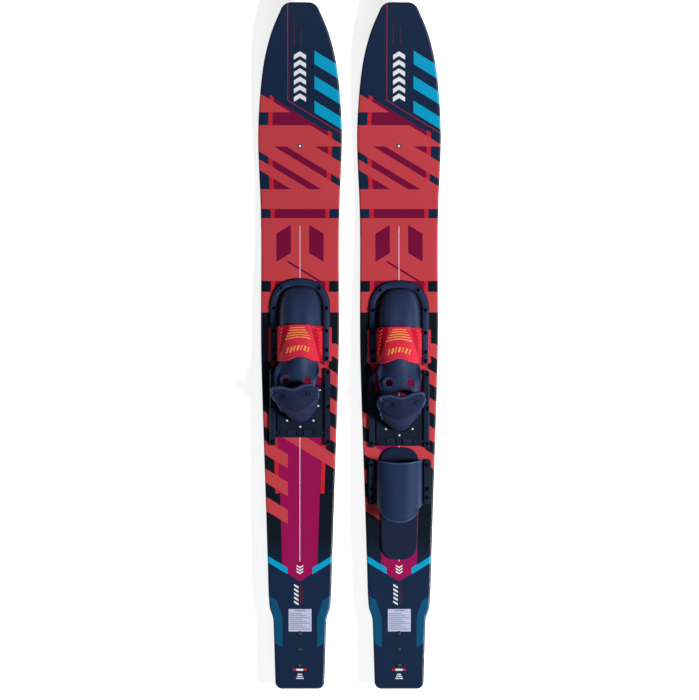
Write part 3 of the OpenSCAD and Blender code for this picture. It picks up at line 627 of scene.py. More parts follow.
def metal(name, colour, rough=0.3, turned=0.0):
    """Bare or plated metal with fine tool marks and a little tarnish."""
    n = Nodes(name)
    cloud = n.noise(160.0, 5.0)
    marks = n.noise(900.0, 2.0, 0.5, n.stretched((1.0, 1.0, 6.0)))
    return n.set(
        base_color=n.mix(n.ramp(cloud, [(0.4, 0.0), (0.8, 1.0)]), colour, toned(colour, 0.6)),
        metallic=1.0,
        roughness=n.math("MULTIPLY_ADD", cloud, 0.2, rough - 0.1),
        normal=n.bump(marks, 0.08 + turned, 0.0002),
    )


DECK_PRINT = ski_deck_material()
SIDEWALL = plastic("sidewall", srgb(30, 36, 52), 600.0, 0.35)
BASE_SHEET = plastic("base_sheet", srgb(20, 32, 50), 400.0, 0.25, 0.05, 0.12)
PLATE = plastic("binding_plate", srgb(13, 25, 46))
FRAME = plastic("toe_frame", srgb(38, 52, 88), rough=0.36)
RAIL = plastic("slide_rail", srgb(22, 34, 60), rough=0.38)
CATCH = plastic("catch_pad", srgb(30, 44, 74), rough=0.4)
FIN = plastic("fin", srgb(22, 25, 30), 900.0, 0.34)
NAVY_RUBBER = rubber("navy_rubber", srgb(36, 52, 86), 0.42, 0.15)
CAP_RUBBER = rubber("cap_rubber", srgb(42, 56, 90), 0.42, 0.14)
TONGUE_RUBBER = rubber("tongue_rubber", srgb(34, 50, 84), 0.48)
HEEL_RUBBER = rubber("heel_rubber", srgb(26, 37, 65), 0.6, 0.08)
# A paler copy of the navy rubber for the heel tab's edge bead: painted highlight.
HIGHLIGHT_RIM_RUBBER = rubber("rim_rubber_painted_highlight", srgb(52, 66, 104), 0.45)
# A paler copy of the heel rubber for the cup below the tab: painted light on its lower wall, which faces the
# tail.
LIT_CUP_RUBBER = rubber("cup_rubber_painted_light", srgb(40, 46, 78), 0.6, 0.08)
# A paler copy of the navy rubber for the beads on the tongue and the rear strap: painted highlight.
HIGHLIGHT_BEAD_RUBBER = rubber("bead_rubber_painted_highlight", srgb(54, 70, 112), 0.42)
# A near-black copy of the navy rubber for the flat flanges and the heel tab's crease: painted shade.
PAINTED_SHADE_RUBBER = rubber("painted_shade_rubber", srgb(14, 20, 34), 0.5)
RED_RUBBER = rubber("red_rubber", srgb(222, 46, 70), 0.48, 0.12)
# A darker copy of the red rubber for the strap's flanks and the grooves between its ribs: painted shade.
SHADED_RED_RUBBER = rubber("red_rubber_painted_shade", srgb(186, 14, 40), 0.48, 0.12)
ORANGE_PRINT = plastic("orange_print", srgb(255, 166, 84), 900.0, 0.45, 0.08, 0.1)
FOAM = foam("pad_foam", srgb(22, 35, 62))
STEEL = metal("stainless", srgb(196, 200, 206), 0.28)
BRIGHT = metal("bright_rivet", srgb(240, 242, 246), 0.5)
EYELET = metal("eyelet", srgb(120, 128, 146), 0.4)
BLACK_STEEL = metal("blackened_steel", srgb(38, 42, 54), 0.34)
WASHER = metal("washer", srgb(90, 96, 110), 0.36)
BRASS = metal("brass", srgb(202, 164, 92), 0.3, 0.1)
SPRING = metal("spring_wire", srgb(200, 204, 210), 0.22)

CAD_LOOKS = {
    "fin": FIN, "fin_inserts": BRASS, "fin_screws": STEEL, "fin_washers": WASHER,
    "tip_eyelet": EYELET, "binding_inserts": BRASS, "toe_screws": BLACK_STEEL,
    "outer_rail": RAIL, "inner_rail": RAIL, "rail_screws": BLACK_STEEL,
    "heel_base_plate": PLATE, "heel_top_plate": PLATE, "heel_rivets": BRIGHT,
    "outer_catch": CATCH, "inner_catch": CATCH, "catch_spring": SPRING,
    "rear_bars": RAIL, "rear_screws": BLACK_STEEL,
}


def dress_cad_nodes():
    """Gives each CAD node that stays in sight its material."""
    for name, obj in nodes.items():
        look = CAD_LOOKS.get(name.split("_", 1)[1])
        if look:
            obj.data.materials.clear()
            obj.data.materials.append(look)


# ---------- the boards ----------


def half_outline():
    """Points (x, y) of the right-hand edge, from the tail's end edge to the tip's."""
    first, last = OUTLINE[0], OUTLINE[-1]
    points = []
    for a in np.radians(np.linspace(-90, TAIL_CORNER_END, 13)):
        points.append((first[1] + TAIL_CORNER * (math.cos(a) - 1), TAIL_CORNER * (1 + math.sin(a))))
    for f in np.linspace(first[0], last[0], 241)[1:]:
        points.append((smooth_curve(OUTLINE, f), f * LENGTH))
    tip_start = math.cos(math.radians(TIP_CORNER_START))
    for a in np.radians(np.linspace(TIP_CORNER_START, 90, 15)[1:]):
        x = last[1] + TIP_CORNER * (math.cos(a) - tip_start)
        points.append((x, LENGTH + TIP_CORNER * (math.sin(a) - 1)))
    return np.array(points)


def edge_normals(points):
    """Outward directions along the half outline, in plan."""
    t = np.gradient(points, axis=0)
    t[0] = (1, 0)
    t[-1] = (-1, 0)
    n = np.stack([t[:, 1], -t[:, 0]], axis=1)
    return n / np.linalg.norm(n, axis=1, keepdims=True)


def board_layers():
    """(inset, height function, drop) up the board's side: base edge, then the deck's rounded edge."""
    base = [
        (BASE_EDGE_R * (1 - math.sin(a)), base_at, BASE_EDGE_R * (1 - math.cos(a)))
        for a in np.linspace(0, math.pi / 2, 5)
    ]
    deck = [
        (DECK_EDGE_R * (1 - math.cos(a)), deck_at, DECK_EDGE_R * (math.sin(a) - 1))
        for a in np.linspace(0, math.pi / 2, 7)
    ]
    return base + deck


def board_sheet(layer, rim, out, cols=41):
    """The board's whole face at a layer, row by row across it."""
    inset, height, drop = layer
    x, y = (rim - out * inset).T[:, :, None]
    x = x * np.linspace(1, -1, cols)
    return np.stack(np.broadcast_arrays(x, y, height(y) + drop), axis=2)


def tunnel_depth(sheet):
    """How far the base is hollowed at each point of its sheet."""
    x, y = sheet[:, :, 0], sheet[:, :, 1]
    return TUNNEL_DEPTH * ease((TUNNEL_END - y) / TUNNEL_FADE) * ease((TUNNEL_HALF - np.abs(x)) / TUNNEL_WALL)


def sheet_edge(sheet):
    """Up the right side of a sheet, across the tip, down the left side and across the tail."""
    return np.concatenate([sheet[:, 0], sheet[-1, 1:-1], sheet[::-1, -1], sheet[0, 1:-1][::-1]])


def board(side):
    """The laminated board: printed deck, dark sidewall and tunnelled base."""
    rim = half_outline()
    sheets = [board_sheet(layer, rim, edge_normals(rim)) for layer in board_layers()]
    sheets[0][:, :, 2] += tunnel_depth(sheets[0])
    rows, cols, _ = sheets[0].shape
    parts = Parts()
    parts.add(sheets[0].reshape(-1, 3), grid_faces(rows, cols, flip=True), 2)
    loops = [sheet_edge(sheet) for sheet in sheets]
    for i, (low, high) in enumerate(zip(loops, loops[1:])):
        parts.add(np.concatenate([low, high]), grid_faces(2, len(low), wrap=True), 1 if i < 6 else 0)
    parts.add(sheets[-1].reshape(-1, 3), grid_faces(rows, cols), 0)
    points = np.array(parts.verts)
    inward = np.interp(points[:, 1], rim[:, 1], rim[:, 0]) - np.abs(points[:, 0])
    obj = parts.piece(
        "board_laminate", side, "ski", "board", "board", [DECK_PRINT, SIDEWALL, BASE_SHEET], 40,
        Edge=np.stack([inward, np.zeros(len(points))], axis=1),
    )
    bore_eyelet(obj, side)


def bore_eyelet(obj, side):
    """Cuts the hole that the tip's metal eyelet sits in."""
    bpy.ops.mesh.primitive_cylinder_add(vertices=48, radius=EYELET_R * MM, depth=60 * MM)
    cutter = bpy.context.object
    centre = TO_FLOOR[side] @ (Vector((0, EYELET_Y, deck_at(EYELET_Y))) * MM)
    slope = math.atan((deck_at(EYELET_Y + 1) - deck_at(EYELET_Y - 1)) / 2) - TILT
    cutter.matrix_world = Matrix.Translation(centre) @ Matrix.Rotation(slope, 4, "X")
    cut = obj.modifiers.new("eyelet", "BOOLEAN")
    cut.object = cutter
    cut.operation = "DIFFERENCE"
    cut.solver = "EXACT"
    bpy.context.view_layer.update()
    mesh = bpy.data.meshes.new_from_object(obj.evaluated_get(bpy.context.evaluated_depsgraph_get()))
    obj.modifiers.clear()
    obj.data = mesh
    bpy.data.objects.remove(cutter)


# ---------- front binding ----------


def arch_outline(half, front, depth, power, rear, steps=72):
    """A closed plan outline: an arch whose front is at y = front, with straight legs back to rear."""
    a = np.linspace(0, math.pi, steps + 1)
    xs = arch_x(half, a, power)
    ys = front - depth + arch_z(depth, a, power)
    return [(x, y) for x, y in zip(xs, ys) if y > rear + 0.01] + [(-half, rear), (half, rear)]


def c_between(outer, inner):
    """One closed C: round the outer arch outline, then back round the inner one."""
    return [outer[-1]] + outer[:-1] + [inner[-2]] + inner[-3::-1] + [inner[-1]]


def horseshoe_outline(inset, leg_end):
    """The toe frame's plan."""
    outer = arch_outline(FRAME_HALF - inset, -inset, 75, 2.4, leg_end)
    inner = arch_outline(FRAME_HALF - FRAME_BAND + inset, inset - 16, 62, 2.6, leg_end)
    return c_between(outer, inner)


def toe_frame(side):
    """The horseshoe frame: a wide band, a narrower one on it, and a boss round each screw."""
    parts = Parts()
    dy = TOE_Y[side]
    low = shifted(horseshoe_outline(0, FRAME_LEG_END), dy)
    high = shifted(horseshoe_outline(FRAME_STEP_IN, FRAME_LEG_END + FRAME_STEP_IN), dy)
    add_plate(parts, [low], FLANGE_TOP, FLANGE_TOP + FRAME_T - 1, 1.4)
    add_plate(parts, [high], FRAME_STEP_Z, FLANGE_TOP + FRAME_T, 0.9)
    for x, y in TOE_SCREWS:
        for s in (-1, 1):
            boss = [circle(s * x, dy + y, BOSS_R), circle(s * x, dy + y, BOSS_BORE)[::-1]]
            add_plate(parts, boss, FRAME_STEP_Z, FLANGE_TOP + BOSS_T, 0.6)
    parts.piece("toe_frame_moulding", side, "ski", "binding_plate", "toe_frame", [FRAME])


def toe_surface(inset, rows=56, cols=97):
    """The toe cap: row 0 is the closed nose at the front, the last row its open rear edge."""
    grid = np.zeros((rows + 1, cols, 3))
    a = np.linspace(0, math.pi, cols)
    for i in range(rows):
        s = math.radians(3 + 87 * i / (rows - 1))
        reach = math.cos(s) ** (2 / TOE_POWER) if i < rows - 1 else 0.0
        half = (TOE_HALF - inset) * math.sin(s) ** (2 / TOE_POWER)
        rise = (TOE_ARCH - inset) * (1 - reach**2.2) ** (1 / 2.2)
        grid[i + 1, :, 0] = arch_x(half, a, ARCH_POWER)
        grid[i + 1, :, 1] = TOE_REAR + (TOE_DEPTH - inset) * reach
        grid[i + 1, :, 2] = ARCH_FOOT + arch_z(rise, a, ARCH_POWER)
    grid[0, :, 0] = grid[1, :, 0] * 0.8
    grid[0, :, 1] = grid[1, :, 1] + 0.15
    grid[0, :, 2] = ARCH_FOOT - 0.4 + (grid[1, :, 2] - ARCH_FOOT) * 0.1
    return grid


def toe_relief(grid):
    """Two soft lengthwise folds that the mould leaves in the cap, deepest towards the strap."""
    x, y = grid[:, :, 0], grid[:, :, 1]
    deep = ease((-y - 30) / 70)
    return deep * (0.9 * hill((np.abs(x) - 19) / 12) - 0.8 * hill(x / 12))


def toe_rubber(side):
    """The dark toe cap and the flat flange under the toe frame."""
    parts = Parts()
    dy = TOE_Y[side]
    outer, inner = toe_surface(0), toe_surface(RUBBER_T)
    outer = outer - normals_of(outer) * toe_relief(outer)[:, :, None] * 0.8
    for grid in (outer, inner):
        grid[:, :, 1] += dy
    add_shell(parts, outer, inner, 3)
    rear, depth = STRAP_FRONT + 1.2, TOE_DEPTH - FLANGE_IN
    hole = arch_outline(TOE_HALF - FLANGE_IN, TOE_REAR + depth, depth, TOE_POWER, rear)
    plan = arch_outline(FRAME_HALF + 2, 2.5, 77, 2.4, rear)
    # The flange takes material 1, the near-black rubber: painted shade in the gap inside the frame.
    add_plate(parts, [shifted(c_between(plan, hole), dy)], DECK, FLANGE_TOP, 0.5, 1)
    parts.piece("toe_cap", side, "ski", "rubber", "toe_rubber", [CAP_RUBBER, PAINTED_SHADE_RUBBER], 50)


def spans(rows, cols):
    """v from 0 to 1 down the rows, and the angle a from 0 to pi along the columns."""
    return np.linspace(0, 1, rows)[:, None], np.linspace(0, math.pi, cols)[None, :]


def strap_edge(x, v):
    front = STRAP_FRONT + 2.5 * (1 - (x / STRAP_HALF) ** 2)
    rear = STRAP_REAR + 12 * np.exp(-((x / 24) ** 2)) + 1.5 * (x / STRAP_HALF) ** 4
    return lerp(front, rear, v)


def strap_shape(v, a, inset=0):
    """Places on the strap: v back along it, the angle a over it from its right side."""
    x = arch_x(STRAP_HALF - inset, a, ARCH_POWER)
    rise = lerp(STRAP_TOE_ARCH, STRAP_ARCH, v) - inset
    z = ARCH_FOOT + arch_z(rise, a, ARCH_POWER)
    return np.stack(np.broadcast_arrays(x, strap_edge(x, v), z), axis=-1)


def strap_panel(v, x):
    """How far a place lies inside the strap's raised middle panel, which widens towards the rear."""
    return 27 + 21 * v - np.abs(x)


def strap_ribs(v, a):
    """The ribs fanned down each flank of the strap, from 0 between them to 1 on their crests."""
    across = np.degrees(np.minimum(a, math.pi - a))
    ribs = 0.0
    for k in range(7):
        start, end = 18 + 0.6 * k, 50 - 2.4 * k
        along = (across - start) / (end - start)
        line = 0.12 + 0.105 * k - 0.17 * (along - 0.5)
        inside = ease((along + 0.02) / 0.15) * ease((1.02 - along) / 0.15)
        ribs = np.maximum(ribs, hill((v - line) / 0.04) * inside)
    return ribs


def strap_flanges(parts, dy):
    """The flat flange on each side of the strap, with its toothed outer edge."""
    front = STRAP_FRONT + 0.4
    edge = [(STRAP_HALF - FLANGE_IN, front), (73.6, front), (76.4, STRAP_FRONT - 2)]
    for t in np.linspace(0, 1, 89):
        edge.append((76.6 + math.cos(22 * math.pi * t), lerp(STRAP_FRONT - 5, -192, t)))
    edge += [(76.4, -195.4), (73.6, -197.8), (STRAP_HALF - FLANGE_IN, -198.4)]
    for s in (-1, 1):
        add_plate(parts, [[(s * x, y + dy) for x, y in edge][::s]], DECK, FLANGE_TOP, 0.5)


def ribbon_on(parts, surface, path, width, lift, material):
    """A thin raised strip laid on a surface along a path of its (v, u) places. width is in millimetres."""
    pts = np.array([surface(v, u) for v, u in path])
    eps = 0.004
    normal = []
    for v, u in path:
        dv = surface(v + eps, u) - surface(v - eps, u)
        du = surface(v, u + eps) - surface(v, u - eps)
        n = np.cross(dv, du)
        n /= np.linalg.norm(n)
        normal.append(n if n[2] > 0 else -n)
    normal = np.array(normal)
    tangent = np.gradient(pts, axis=0)
    tangent /= np.linalg.norm(tangent, axis=1, keepdims=True)
    sideways = np.cross(normal, tangent)
    section = [(-0.5, -0.6), (-0.5, 0.55), (-0.42, 0.9), (0.0, 1.0), (0.42, 0.9), (0.5, 0.55), (0.5, -0.6)]
    verts = []
    for p, n, s in zip(pts, normal, sideways):
        verts.extend([p + s * width * a + n * lift * b for a, b in section])
    m = len(section)
    faces = grid_faces(len(pts), m, wrap=True)
    faces += [tuple(range(m))[::-1], tuple((len(pts) - 1) * m + k for k in range(m))]
    parts.add(verts, faces, material)


def strap_marks(parts, middle, dy):
    """Five stripes and seven slanted bars, printed thickly on the strap."""

    def surface(v, u):
        return strap_shape(v, math.pi / 2 * (1 - u)) + (0, dy, 0)

    def across(x):
        """The u of a place x millimetres from the centre line."""
        turn = math.acos(math.copysign((abs(x) / STRAP_HALF) ** (ARCH_POWER / 2), x))
        return 1 - turn / (math.pi / 2)

    def lift(v, x):
        return 0.5 + PANEL_H * float(ease(strap_panel(v, x) / PANEL_EDGE))

    for k in range(5):
        v, half = 0.065 + 0.079 * k, 16.5 + 3.4 * k
        path = [(v + 0.012 * (x / half) ** 2, across(middle + x)) for x in np.linspace(-half, half, 21)]
        ribbon_on(parts, surface, path, 2.9, lift(v, 0), 1)
    for k in range(7):
        x = middle - 27 + 8.3 * k
        path = [(0.81 - 0.16 * t, across(x + 4 * t)) for t in np.linspace(0, 1, 9)]
        ribbon_on(parts, surface, path, 5.4 if k % 2 else 3.6, lift(0.7, x), 1)


def instep_strap(side):
    """The red strap: a ribbed arch with a raised middle panel and lips, its flanges and its print."""
    parts = Parts()
    dy = TOE_Y[side]
    v, a = spans(90, 241)
    outer, inner = strap_shape(v, a), strap_shape(v, a, RUBBER_T)
    panel, ribs = strap_panel(v, arch_x(STRAP_HALF, a, ARCH_POWER)), strap_ribs(v, a)
    lips = hill(v / 0.06) + hill((v - 1) / 0.06)
    relief = RIB_H * ribs + PANEL_H * ease(panel / PANEL_EDGE) + LIP_H * lips
    outer = outer - normals_of(outer) * relief[:, :, None]
    for grid in (outer, inner):
        grid[:, :, 1] += dy
    # The flanks and the grooves between the ribs take the darker red as painted shade, so the panel and the
    # rib crests read paler as a painted highlight.
    looks = np.where(np.maximum(panel - 0.8, ribs - 0.45) > 0, 0, 2)
    add_shell(parts, outer, inner, 6, looks=looks)
    strap_flanges(parts, dy)
    strap_marks(parts, STRAP_MARK_X[side], dy)
    rubbers = [RED_RUBBER, ORANGE_PRINT, SHADED_RED_RUBBER]
    parts.piece("instep_overlay", side, "ski", "strap", "instep_strap", rubbers, 50)


def tongue_end(u):
    """The tongue's rear edge, with its two lobes."""
    u = np.abs(u)
    return (
        TONGUE_REAR
        - 9.5 * np.sin(math.pi / 2 * np.minimum(1, u / 0.55)) ** 2
        + 34 * np.maximum(0, (u - 0.55) / 0.45) ** 4
    )


def tongue_surface(side, drop, rows=150, cols=170):
    """The tongue's skin, with each point's u across it and v back along it."""
    u = np.linspace(1, -1, cols)[None, :] * np.ones((rows, 1))
    v = np.linspace(0, 1, rows)[:, None] * np.ones((1, cols))
    half = 44 + 9 * ease((v - 0.3) / 0.45) - 2.5 * ease((v - 0.8) / 0.2)
    x = u * half
    crown = ARCH_FOOT + STRAP_ARCH - RUBBER_T - 2.8 + 4 * v
    sag = lerp(0.0135, 0.0052, ease((v - 0.28) / 0.45))
    y = lerp(TONGUE_FRONT, tongue_end(u), v)
    return np.stack([x + TONGUE_LEAN[side] * v**1.5, y, crown - sag * x * x - drop], axis=2), u, v


def tongue(side):
    """The loose tongue, with its sunk border line and a raised ring round each finger hole."""
    outer, u, v = tongue_surface(side, 0)
    inner = tongue_surface(side, RUBBER_T)[0]
    lean = TONGUE_LEAN[side] * FINGER_LEAN
    x, y = outer[:, :, 0] - lean, outer[:, :, 1]
    away = np.minimum.reduce([np.hypot(x - s * FINGER_X, y - FINGER_Y) for s in (-1, 1)])
    for grid in (outer, inner):
        for s in (-1, 1):
            dx, dy = x - s * FINGER_X, y - FINGER_Y
            d = np.hypot(dx, dy)
            pull = np.where(np.abs(d - FINGER_R) < 1.2, (FINGER_R - d) / np.maximum(d, 1e-6), 0)
            grid[:, :, 0] += dx * pull
            grid[:, :, 1] += dy * pull
    border = np.minimum((1 - np.abs(u)) * 50, (1 - v) * 100)
    relief = 0.8 * hill((border - 2.4) / 2.0) - 0.7 * hill((border - 5.4) / 1.3)
    outer[:, :, 2] += relief * ease((v - 0.15) / 0.1)
    for grid in (outer, inner):
        grid[:, :, 1] += TOE_Y[side]
    cells = (away[:-1, :-1] + away[1:, :-1] + away[:-1, 1:] + away[1:, 1:]) / 4
    parts = Parts()
    add_shell(parts, outer, inner, 5, keep=cells > FINGER_R)
    for s in (-1, 1):
        finger_rings(parts, s * FINGER_X, lean, TOE_Y[side], outer)
    parts.piece("tongue_flap", side, "ski", "rubber", "tongue", [TONGUE_RUBBER, HIGHLIGHT_BEAD_RUBBER], 60)


def finger_rings(parts, hole_x, lean, dy, skin):
    """The beads round one finger hole. They lie level, at the height of the tongue's rear edge beside it."""
    x, y, z = (skin[:, :, k].ravel() for k in range(3))
    for grow, lift, bead in ((0.5, -0.3, 1.5), (0.3, -1.8, 1.5), (4.2, -0.35, 0.8)):
        ring = []
        for px, py in circle(hole_x, FINGER_Y, FINGER_R + grow, 56):
            reach = np.hypot(x - lean - px, y - py)
            near = np.argsort(reach)[:4]
            weight = 1 / (reach[near] + 0.05)
            ring.append((px + lean, py + dy, float((z[near] * weight).sum() / weight.sum()) + lift))
        # All three beads take material 1, the paler bead rubber: painted highlight round the hole.
        add_tube(parts, ring, bead, 1, 12, closed=True)


# ---------- heel ----------


def heel_rows():
    """Each row's place s: -1 to 0 below the tab's lower line, 0 to 1 above it, crowded at its step."""
    below = np.linspace(-1, -0.05, 60)
    crease = np.linspace(-0.045, -0.001, 12)
    step = np.array([0, 0.0006, 0.002, 0.0045, 0.008, 0.0125, 0.018, 0.024])
    above = np.linspace(0.034, 1, 66)
    return np.concatenate([below, crease, step, above])


def heel_surface(side, cols, inset):
    """The heel cup: u runs round the heel, v from the plate up to the edge of the pull tab."""
    rows = heel_rows()
    u = np.linspace(-1, 1, cols)[None, :] * np.ones((len(rows), 1))
    line = 0.745 + 0.03 * u * u
    s = rows[:, None] * np.ones((1, cols))
    v = np.where(s < 0, line * (1 + s), line + (1 - line) * s)
    notch = np.abs(np.sin(math.pi * v)) ** 1.2
    a = math.pi / 2 * u * (1 - EAR_TRIM * notch)
    forward, spread = v**LEAN_POWER, v**SPREAD_POWER
    base_x = (CUP_HALF - inset) * np.sign(u) * np.abs(np.sin(a)) ** (2 / CUP_POWER)
    base_d = CUP_FRONT + (CUP_DEPTH - inset) * np.abs(np.cos(a)) ** (2 / CUP_POWER)
    tab_x = TAB_HALF * np.sign(u) * np.abs(np.sin(a)) ** 0.9
    tab_d = (
        CUP_FRONT + CUP_DEPTH - TAB_REACH - TAB_DIP * ease(np.abs(tab_x) / 32)
        + 0.06 * np.maximum(0, np.abs(tab_x) - 46) ** 2 - inset * (1 - np.abs(u))
    )
    rise = (HEEL_HEIGHT - inset * 0.6 * spread) * (1 - 0.10 * u * u)
    top = np.clip((v - 0.84) / 0.16, 0, 1)
    corner = 1 - 0.17 * np.abs(u) ** 5 * (1 - np.sqrt(1 - top * top))
    x = lerp(base_x, tab_x, spread) * corner + HEEL_LEAN[side] * forward
    y = TAB_SKEW * tab_x * forward - lerp(base_d, tab_d, forward) - EAR_NOTCH * u**4 * notch
    z = BASE_TOP + HEEL_FLANGE_T / 2 + rise * v - inset * 0.5 * spread
    return np.stack([x, y, z], axis=2), u, v, s


def cup_outline(grow, front):
    """The U-shaped plan of the cup on its plate, open at the front."""
    a = np.linspace(0, math.pi, 73)
    xs = arch_x(CUP_HALF + grow, a, CUP_POWER)
    ys = -CUP_FRONT - arch_z(CUP_DEPTH + grow, a, CUP_POWER)
    return [(CUP_HALF + grow, front)] + list(zip(xs, ys)) + [(-CUP_HALF - grow, front)]


def tab_relief(s, px, py):
    """How far the heel's skin stands out: a crease, the thick tab above it, and two oval finger dimples."""
    step = TAB_STEP * np.sqrt(np.clip(1 - (1 - np.clip(s / 0.024, 0, 1)) ** 2, 0, 1)) * (s >= 0)
    crease = -1.7 * ease(1 + s / 0.045) * (s < 0)
    relief = step + crease
    for k in (-1, 1):
        across, along = px - k * 28, py + 22 - TAB_SKEW * k * 28
        turn = k * 0.12
        ax = across * math.cos(turn) + along * math.sin(turn)
        ay = along * math.cos(turn) - across * math.sin(turn)
        ring = np.hypot(ax / 14, ay / 7.4)
        pit = np.hypot((ax + 1.5) / 7.8, ay / 3.6)
        on_tab = s > 0.1
        relief = relief + on_tab * (1.2 * hill((ring - 1.02) / 0.15) - 1.2 * ease((1.05 - ring) / 0.3))
        relief = relief - on_tab * 3.4 * ease((1.15 - pit) / 0.5)
    return relief


def tab_bead(parts, skin, v):
    """The bead along the tab's edge and down both ears, thinning out at its ends."""
    ears = np.where((v > 0.66) & (v < 0.995))[0]
    path = np.concatenate([skin[ears, 0], skin[-1], skin[ears, -1][::-1]])
    step = np.concatenate([[0], np.cumsum(np.linalg.norm(np.diff(path, axis=0), axis=1))])
    even = np.linspace(0, step[-1], 260)
    path = np.stack([np.interp(even, step, path[:, k]) for k in range(3)], axis=1)
    for _ in range(6):
        path[1:-1] = (path[:-2] + 2 * path[1:-1] + path[2:]) / 4
    # Material 1 is the paler rim rubber: a painted highlight along the bead.
    add_tube(parts, path, 0.9 + 1.8 * ease(np.minimum(even, step[-1] - even) / 30), 1, 14)


def heel_rubber(side):
    """The heel cup with its thicker pull tab, the crease below it, finger dimples and beaded rim."""
    cols = 241
    outer, u, v, s = heel_surface(side, cols, -1)
    inner = heel_surface(side, cols, RUBBER_T - 1)[0]
    normal = normals_of(outer)
    normal *= np.sign(np.sum(normal * (outer - inner), axis=2, keepdims=True))
    relief = tab_relief(s, outer[:, :, 0] - HEEL_LEAN[side], outer[:, :, 1])
    outer = outer + normal * relief[:, :, None]
    dy = HEEL_Y[side]
    for grid in (outer, inner):
        grid[:, :, 1] += dy
    parts = Parts()
    # The tab takes the heel rubber; a near-black strip along the crease below it is painted shade; the cup
    # below takes a paler copy, painted light on its tail-facing wall.
    looks = np.select([s > 0.003, s > -0.042], [0, 3], 2)
    add_shell(parts, outer, inner, 6, looks=looks)
    tab_bead(parts, lerp(inner, outer, 0.78), v[:, 0])
    plate = [(max(-52.4, min(52.4, x)), max(-103, y)) for x, y in cup_outline(12.5, -1.6)]
    hole = cup_outline(-5, -1.6)
    add_plate(parts, [shifted(plate + hole[::-1], dy)], BASE_TOP, BASE_TOP + HEEL_FLANGE_T, 0.3)
    rubbers = [HEEL_RUBBER, HIGHLIGHT_RIM_RUBBER, LIT_CUP_RUBBER, PAINTED_SHADE_RUBBER]
    parts.piece("heel_cup", side, "heel", "rubber", "heel_rubber", rubbers, 60)


# ---------- rear toe piece ----------


def rear_pad():
    """The foam foot pad, slightly crowned, with a softened edge."""
    centre_y, half_length = PAD_FRONT - PAD_LENGTH / 2, PAD_LENGTH / 2
    r = PAD_CORNER
    outline = []
    for k, half in enumerate((PAD_FRONT_HALF, PAD_FRONT_HALF, PAD_REAR_HALF, PAD_REAR_HALF)):
        cx = (half - r) * (1 if k in (0, 3) else -1)
        cy = centre_y + (half_length - r) * (1 if k < 2 else -1)
        for a in np.radians(90 * k + np.linspace(0, 90, 25)):
            outline.append((cx + r * math.cos(a), cy + r * math.sin(a)))
    outline = np.array(outline)
    top = DECK + PAD_T

    def ring(x_share, y_share, z):
        x, y = outline[:, 0] * x_share, centre_y + (outline[:, 1] - centre_y) * y_share
        return np.column_stack([x, y, np.full(len(outline), z)])

    rings = [ring(1, 1, DECK + 0.02), ring(1, 1, top - PAD_EDGE_R - 0.4)]
    for share in [1 - 0.035 * k for k in range(7)] + [0.7, 0.5, 0.3, 0.12]:
        inset = (1 - share) * PAD_FRONT_HALF
        drop = PAD_EDGE_R * (1 - math.sqrt(1 - (1 - min(1, inset / PAD_EDGE_R)) ** 2))
        rings.append(ring(share, 1 - inset / half_length, top - drop + 0.25 * (1 - share)))
    n = len(outline)
    faces = grid_faces(len(rings), n, wrap=True)
    faces.append(tuple((len(rings) - 1) * n + k for k in range(n)))
    faces.append(tuple(range(n))[::-1])
    parts = Parts()
    parts.add(np.concatenate(rings), faces)
    obj = parts.piece("rear_foam_pad", "right", "ski", "foam", "rear_pad", [FOAM], 60)


def rear_edges(x):
    """Where the strap's front and rear edges lie at x."""
    c = np.abs(x)
    tail = 431 - 30 * np.sqrt(np.maximum(0, 1 - (c / 43) ** 2))
    return 541 + 8 * (x / REAR_HALF) ** 2, np.where(c < 43, tail, lerp(431, 447, (c - 43) / 13))


def rear_shape(v, a, inset=0):
    """Places on the rear strap: v back along it, the angle a over it from its right side."""
    x = arch_x(REAR_HALF - inset, a, REAR_POWER)
    z = ARCH_FOOT + arch_z(lerp(REAR_FRONT_ARCH, REAR_ARCH, v) - inset, a, REAR_POWER)
    return np.stack(np.broadcast_arrays(x, lerp(*rear_edges(x), v), z), axis=-1)


def rear_strap():
    """The rear toe strap: a moulded arch with a beaded edge front and back, and its two flanges."""
    parts = Parts()
    v, a = spans(80, 161)
    outer, inner = rear_shape(v, a), rear_shape(v, a, RUBBER_T)
    add_shell(parts, outer, inner, 5)
    middle = (outer + inner) / 2
    # The beads take material 1, the paler bead rubber: painted highlight along both edges.
    for row in (0, -1):
        add_tube(parts, middle[row, 6:-6] + (0, 0, 0.9), 2.2, 1, 12)
    near, far = REAR_HALF - FLANGE_IN, BAR_OUTER + 3
    front, rear = BAR_FRONT + 3, BAR_FRONT - BAR_LENGTH - 3
    edge = [
        (near, front - 2), (far - 8, front), (far - 2.5, front - 2.5), (far, front - 9),
        (far, rear + 9), (far - 2.5, rear + 2.5), (far - 8, rear), (near, rear + 2),
    ]
    # The flanges take material 2, the near-black rubber: painted shade beside the arch and under the bars.
    for s in (-1, 1):
        add_plate(parts, [[(s * x, y) for x, y in edge][::s]], DECK, FLANGE_TOP, 0.7, 2)
    rubbers = [NAVY_RUBBER, HIGHLIGHT_BEAD_RUBBER, PAINTED_SHADE_RUBBER]
    parts.piece("rear_toe_strap", "right", "ski", "rubber", "rear_strap", rubbers, 60)


# ---------- studio ----------


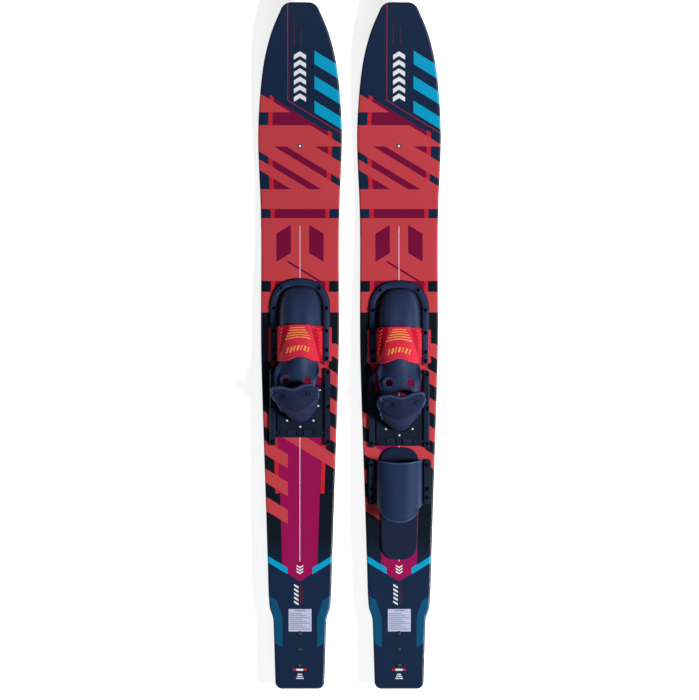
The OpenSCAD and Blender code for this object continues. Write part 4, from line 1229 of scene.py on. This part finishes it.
def dome_light():
    """A soft dome, bright towards the horizon and darker overhead, so that flat faces keep their colour."""
    world = bpy.data.worlds.new("dome")
    world.use_nodes = True
    tree = world.node_tree
    background = tree.nodes["Background"]
    direction = tree.nodes.new("ShaderNodeTexCoord")
    up = tree.nodes.new("ShaderNodeSeparateXYZ")
    ramp = tree.nodes.new("ShaderNodeMapRange")
    tree.links.new(direction.outputs["Generated"], up.inputs[0])
    tree.links.new(up.outputs[2], ramp.inputs["Value"])
    tree.links.new(ramp.outputs["Result"], background.inputs["Strength"])
    ramp.inputs["To Min"].default_value = 0.34
    ramp.inputs["To Max"].default_value = 0.26
    bpy.context.scene.world = world
    bpy.context.scene.view_settings.view_transform = "Standard"


def pale_floor():
    bpy.ops.mesh.primitive_plane_add(size=14, location=(0, 0, 0))
    floor = bpy.context.object
    floor.name = "floor"
    n = Nodes("pale_floor")
    speckle = n.mix(n.noise(40.0, 3.0), srgb(250, 250, 250), srgb(246, 246, 247))
    n.set(base_color=speckle, roughness=0.9, emission_color=(1.0, 1.0, 1.0, 1.0), emission_strength=0.8)
    floor.data.materials.append(n.material)


def softbox(name, place, target, size, power):
    light = bpy.data.lights.new(name, "AREA")
    light.shape = "RECTANGLE"
    light.size = light.size_y = size
    light.energy = power
    obj = bpy.data.objects.new(name, light)
    obj.location = place
    obj.rotation_euler = (Vector(target) - Vector(place)).to_track_quat("-Z", "Y").to_euler()
    bpy.context.scene.collection.objects.link(obj)


def overhead_camera(height=14.0, seen=1.688, subject=0.04, y=-0.0105):
    """Straight above the pair; seen is the width in view at the subject's height."""
    data = bpy.data.cameras.new("camera")
    data.sensor_width = 36
    data.lens = data.sensor_width * (height - subject) / seen
    camera = bpy.data.objects.new("camera", data)
    camera.location = (0, y, height)
    bpy.context.scene.collection.objects.link(camera)
    bpy.context.scene.camera = camera


# ---------- the pair ----------

dress_cad_nodes()
for side in SIDES:
    board(side)
    toe_frame(side)
    toe_rubber(side)
    instep_strap(side)
    tongue(side)
    heel_rubber(side)
rear_pad()
rear_strap()
pale_floor()
softbox("key_softbox", (3.4, -1.0, 3.8), (0, 0, 0), 1.3, 300)
softbox("tail_softbox", (-0.3, -4.0, 4.2), (0, 0.1, 0), 3.0, 50)
dome_light()
overhead_camera()
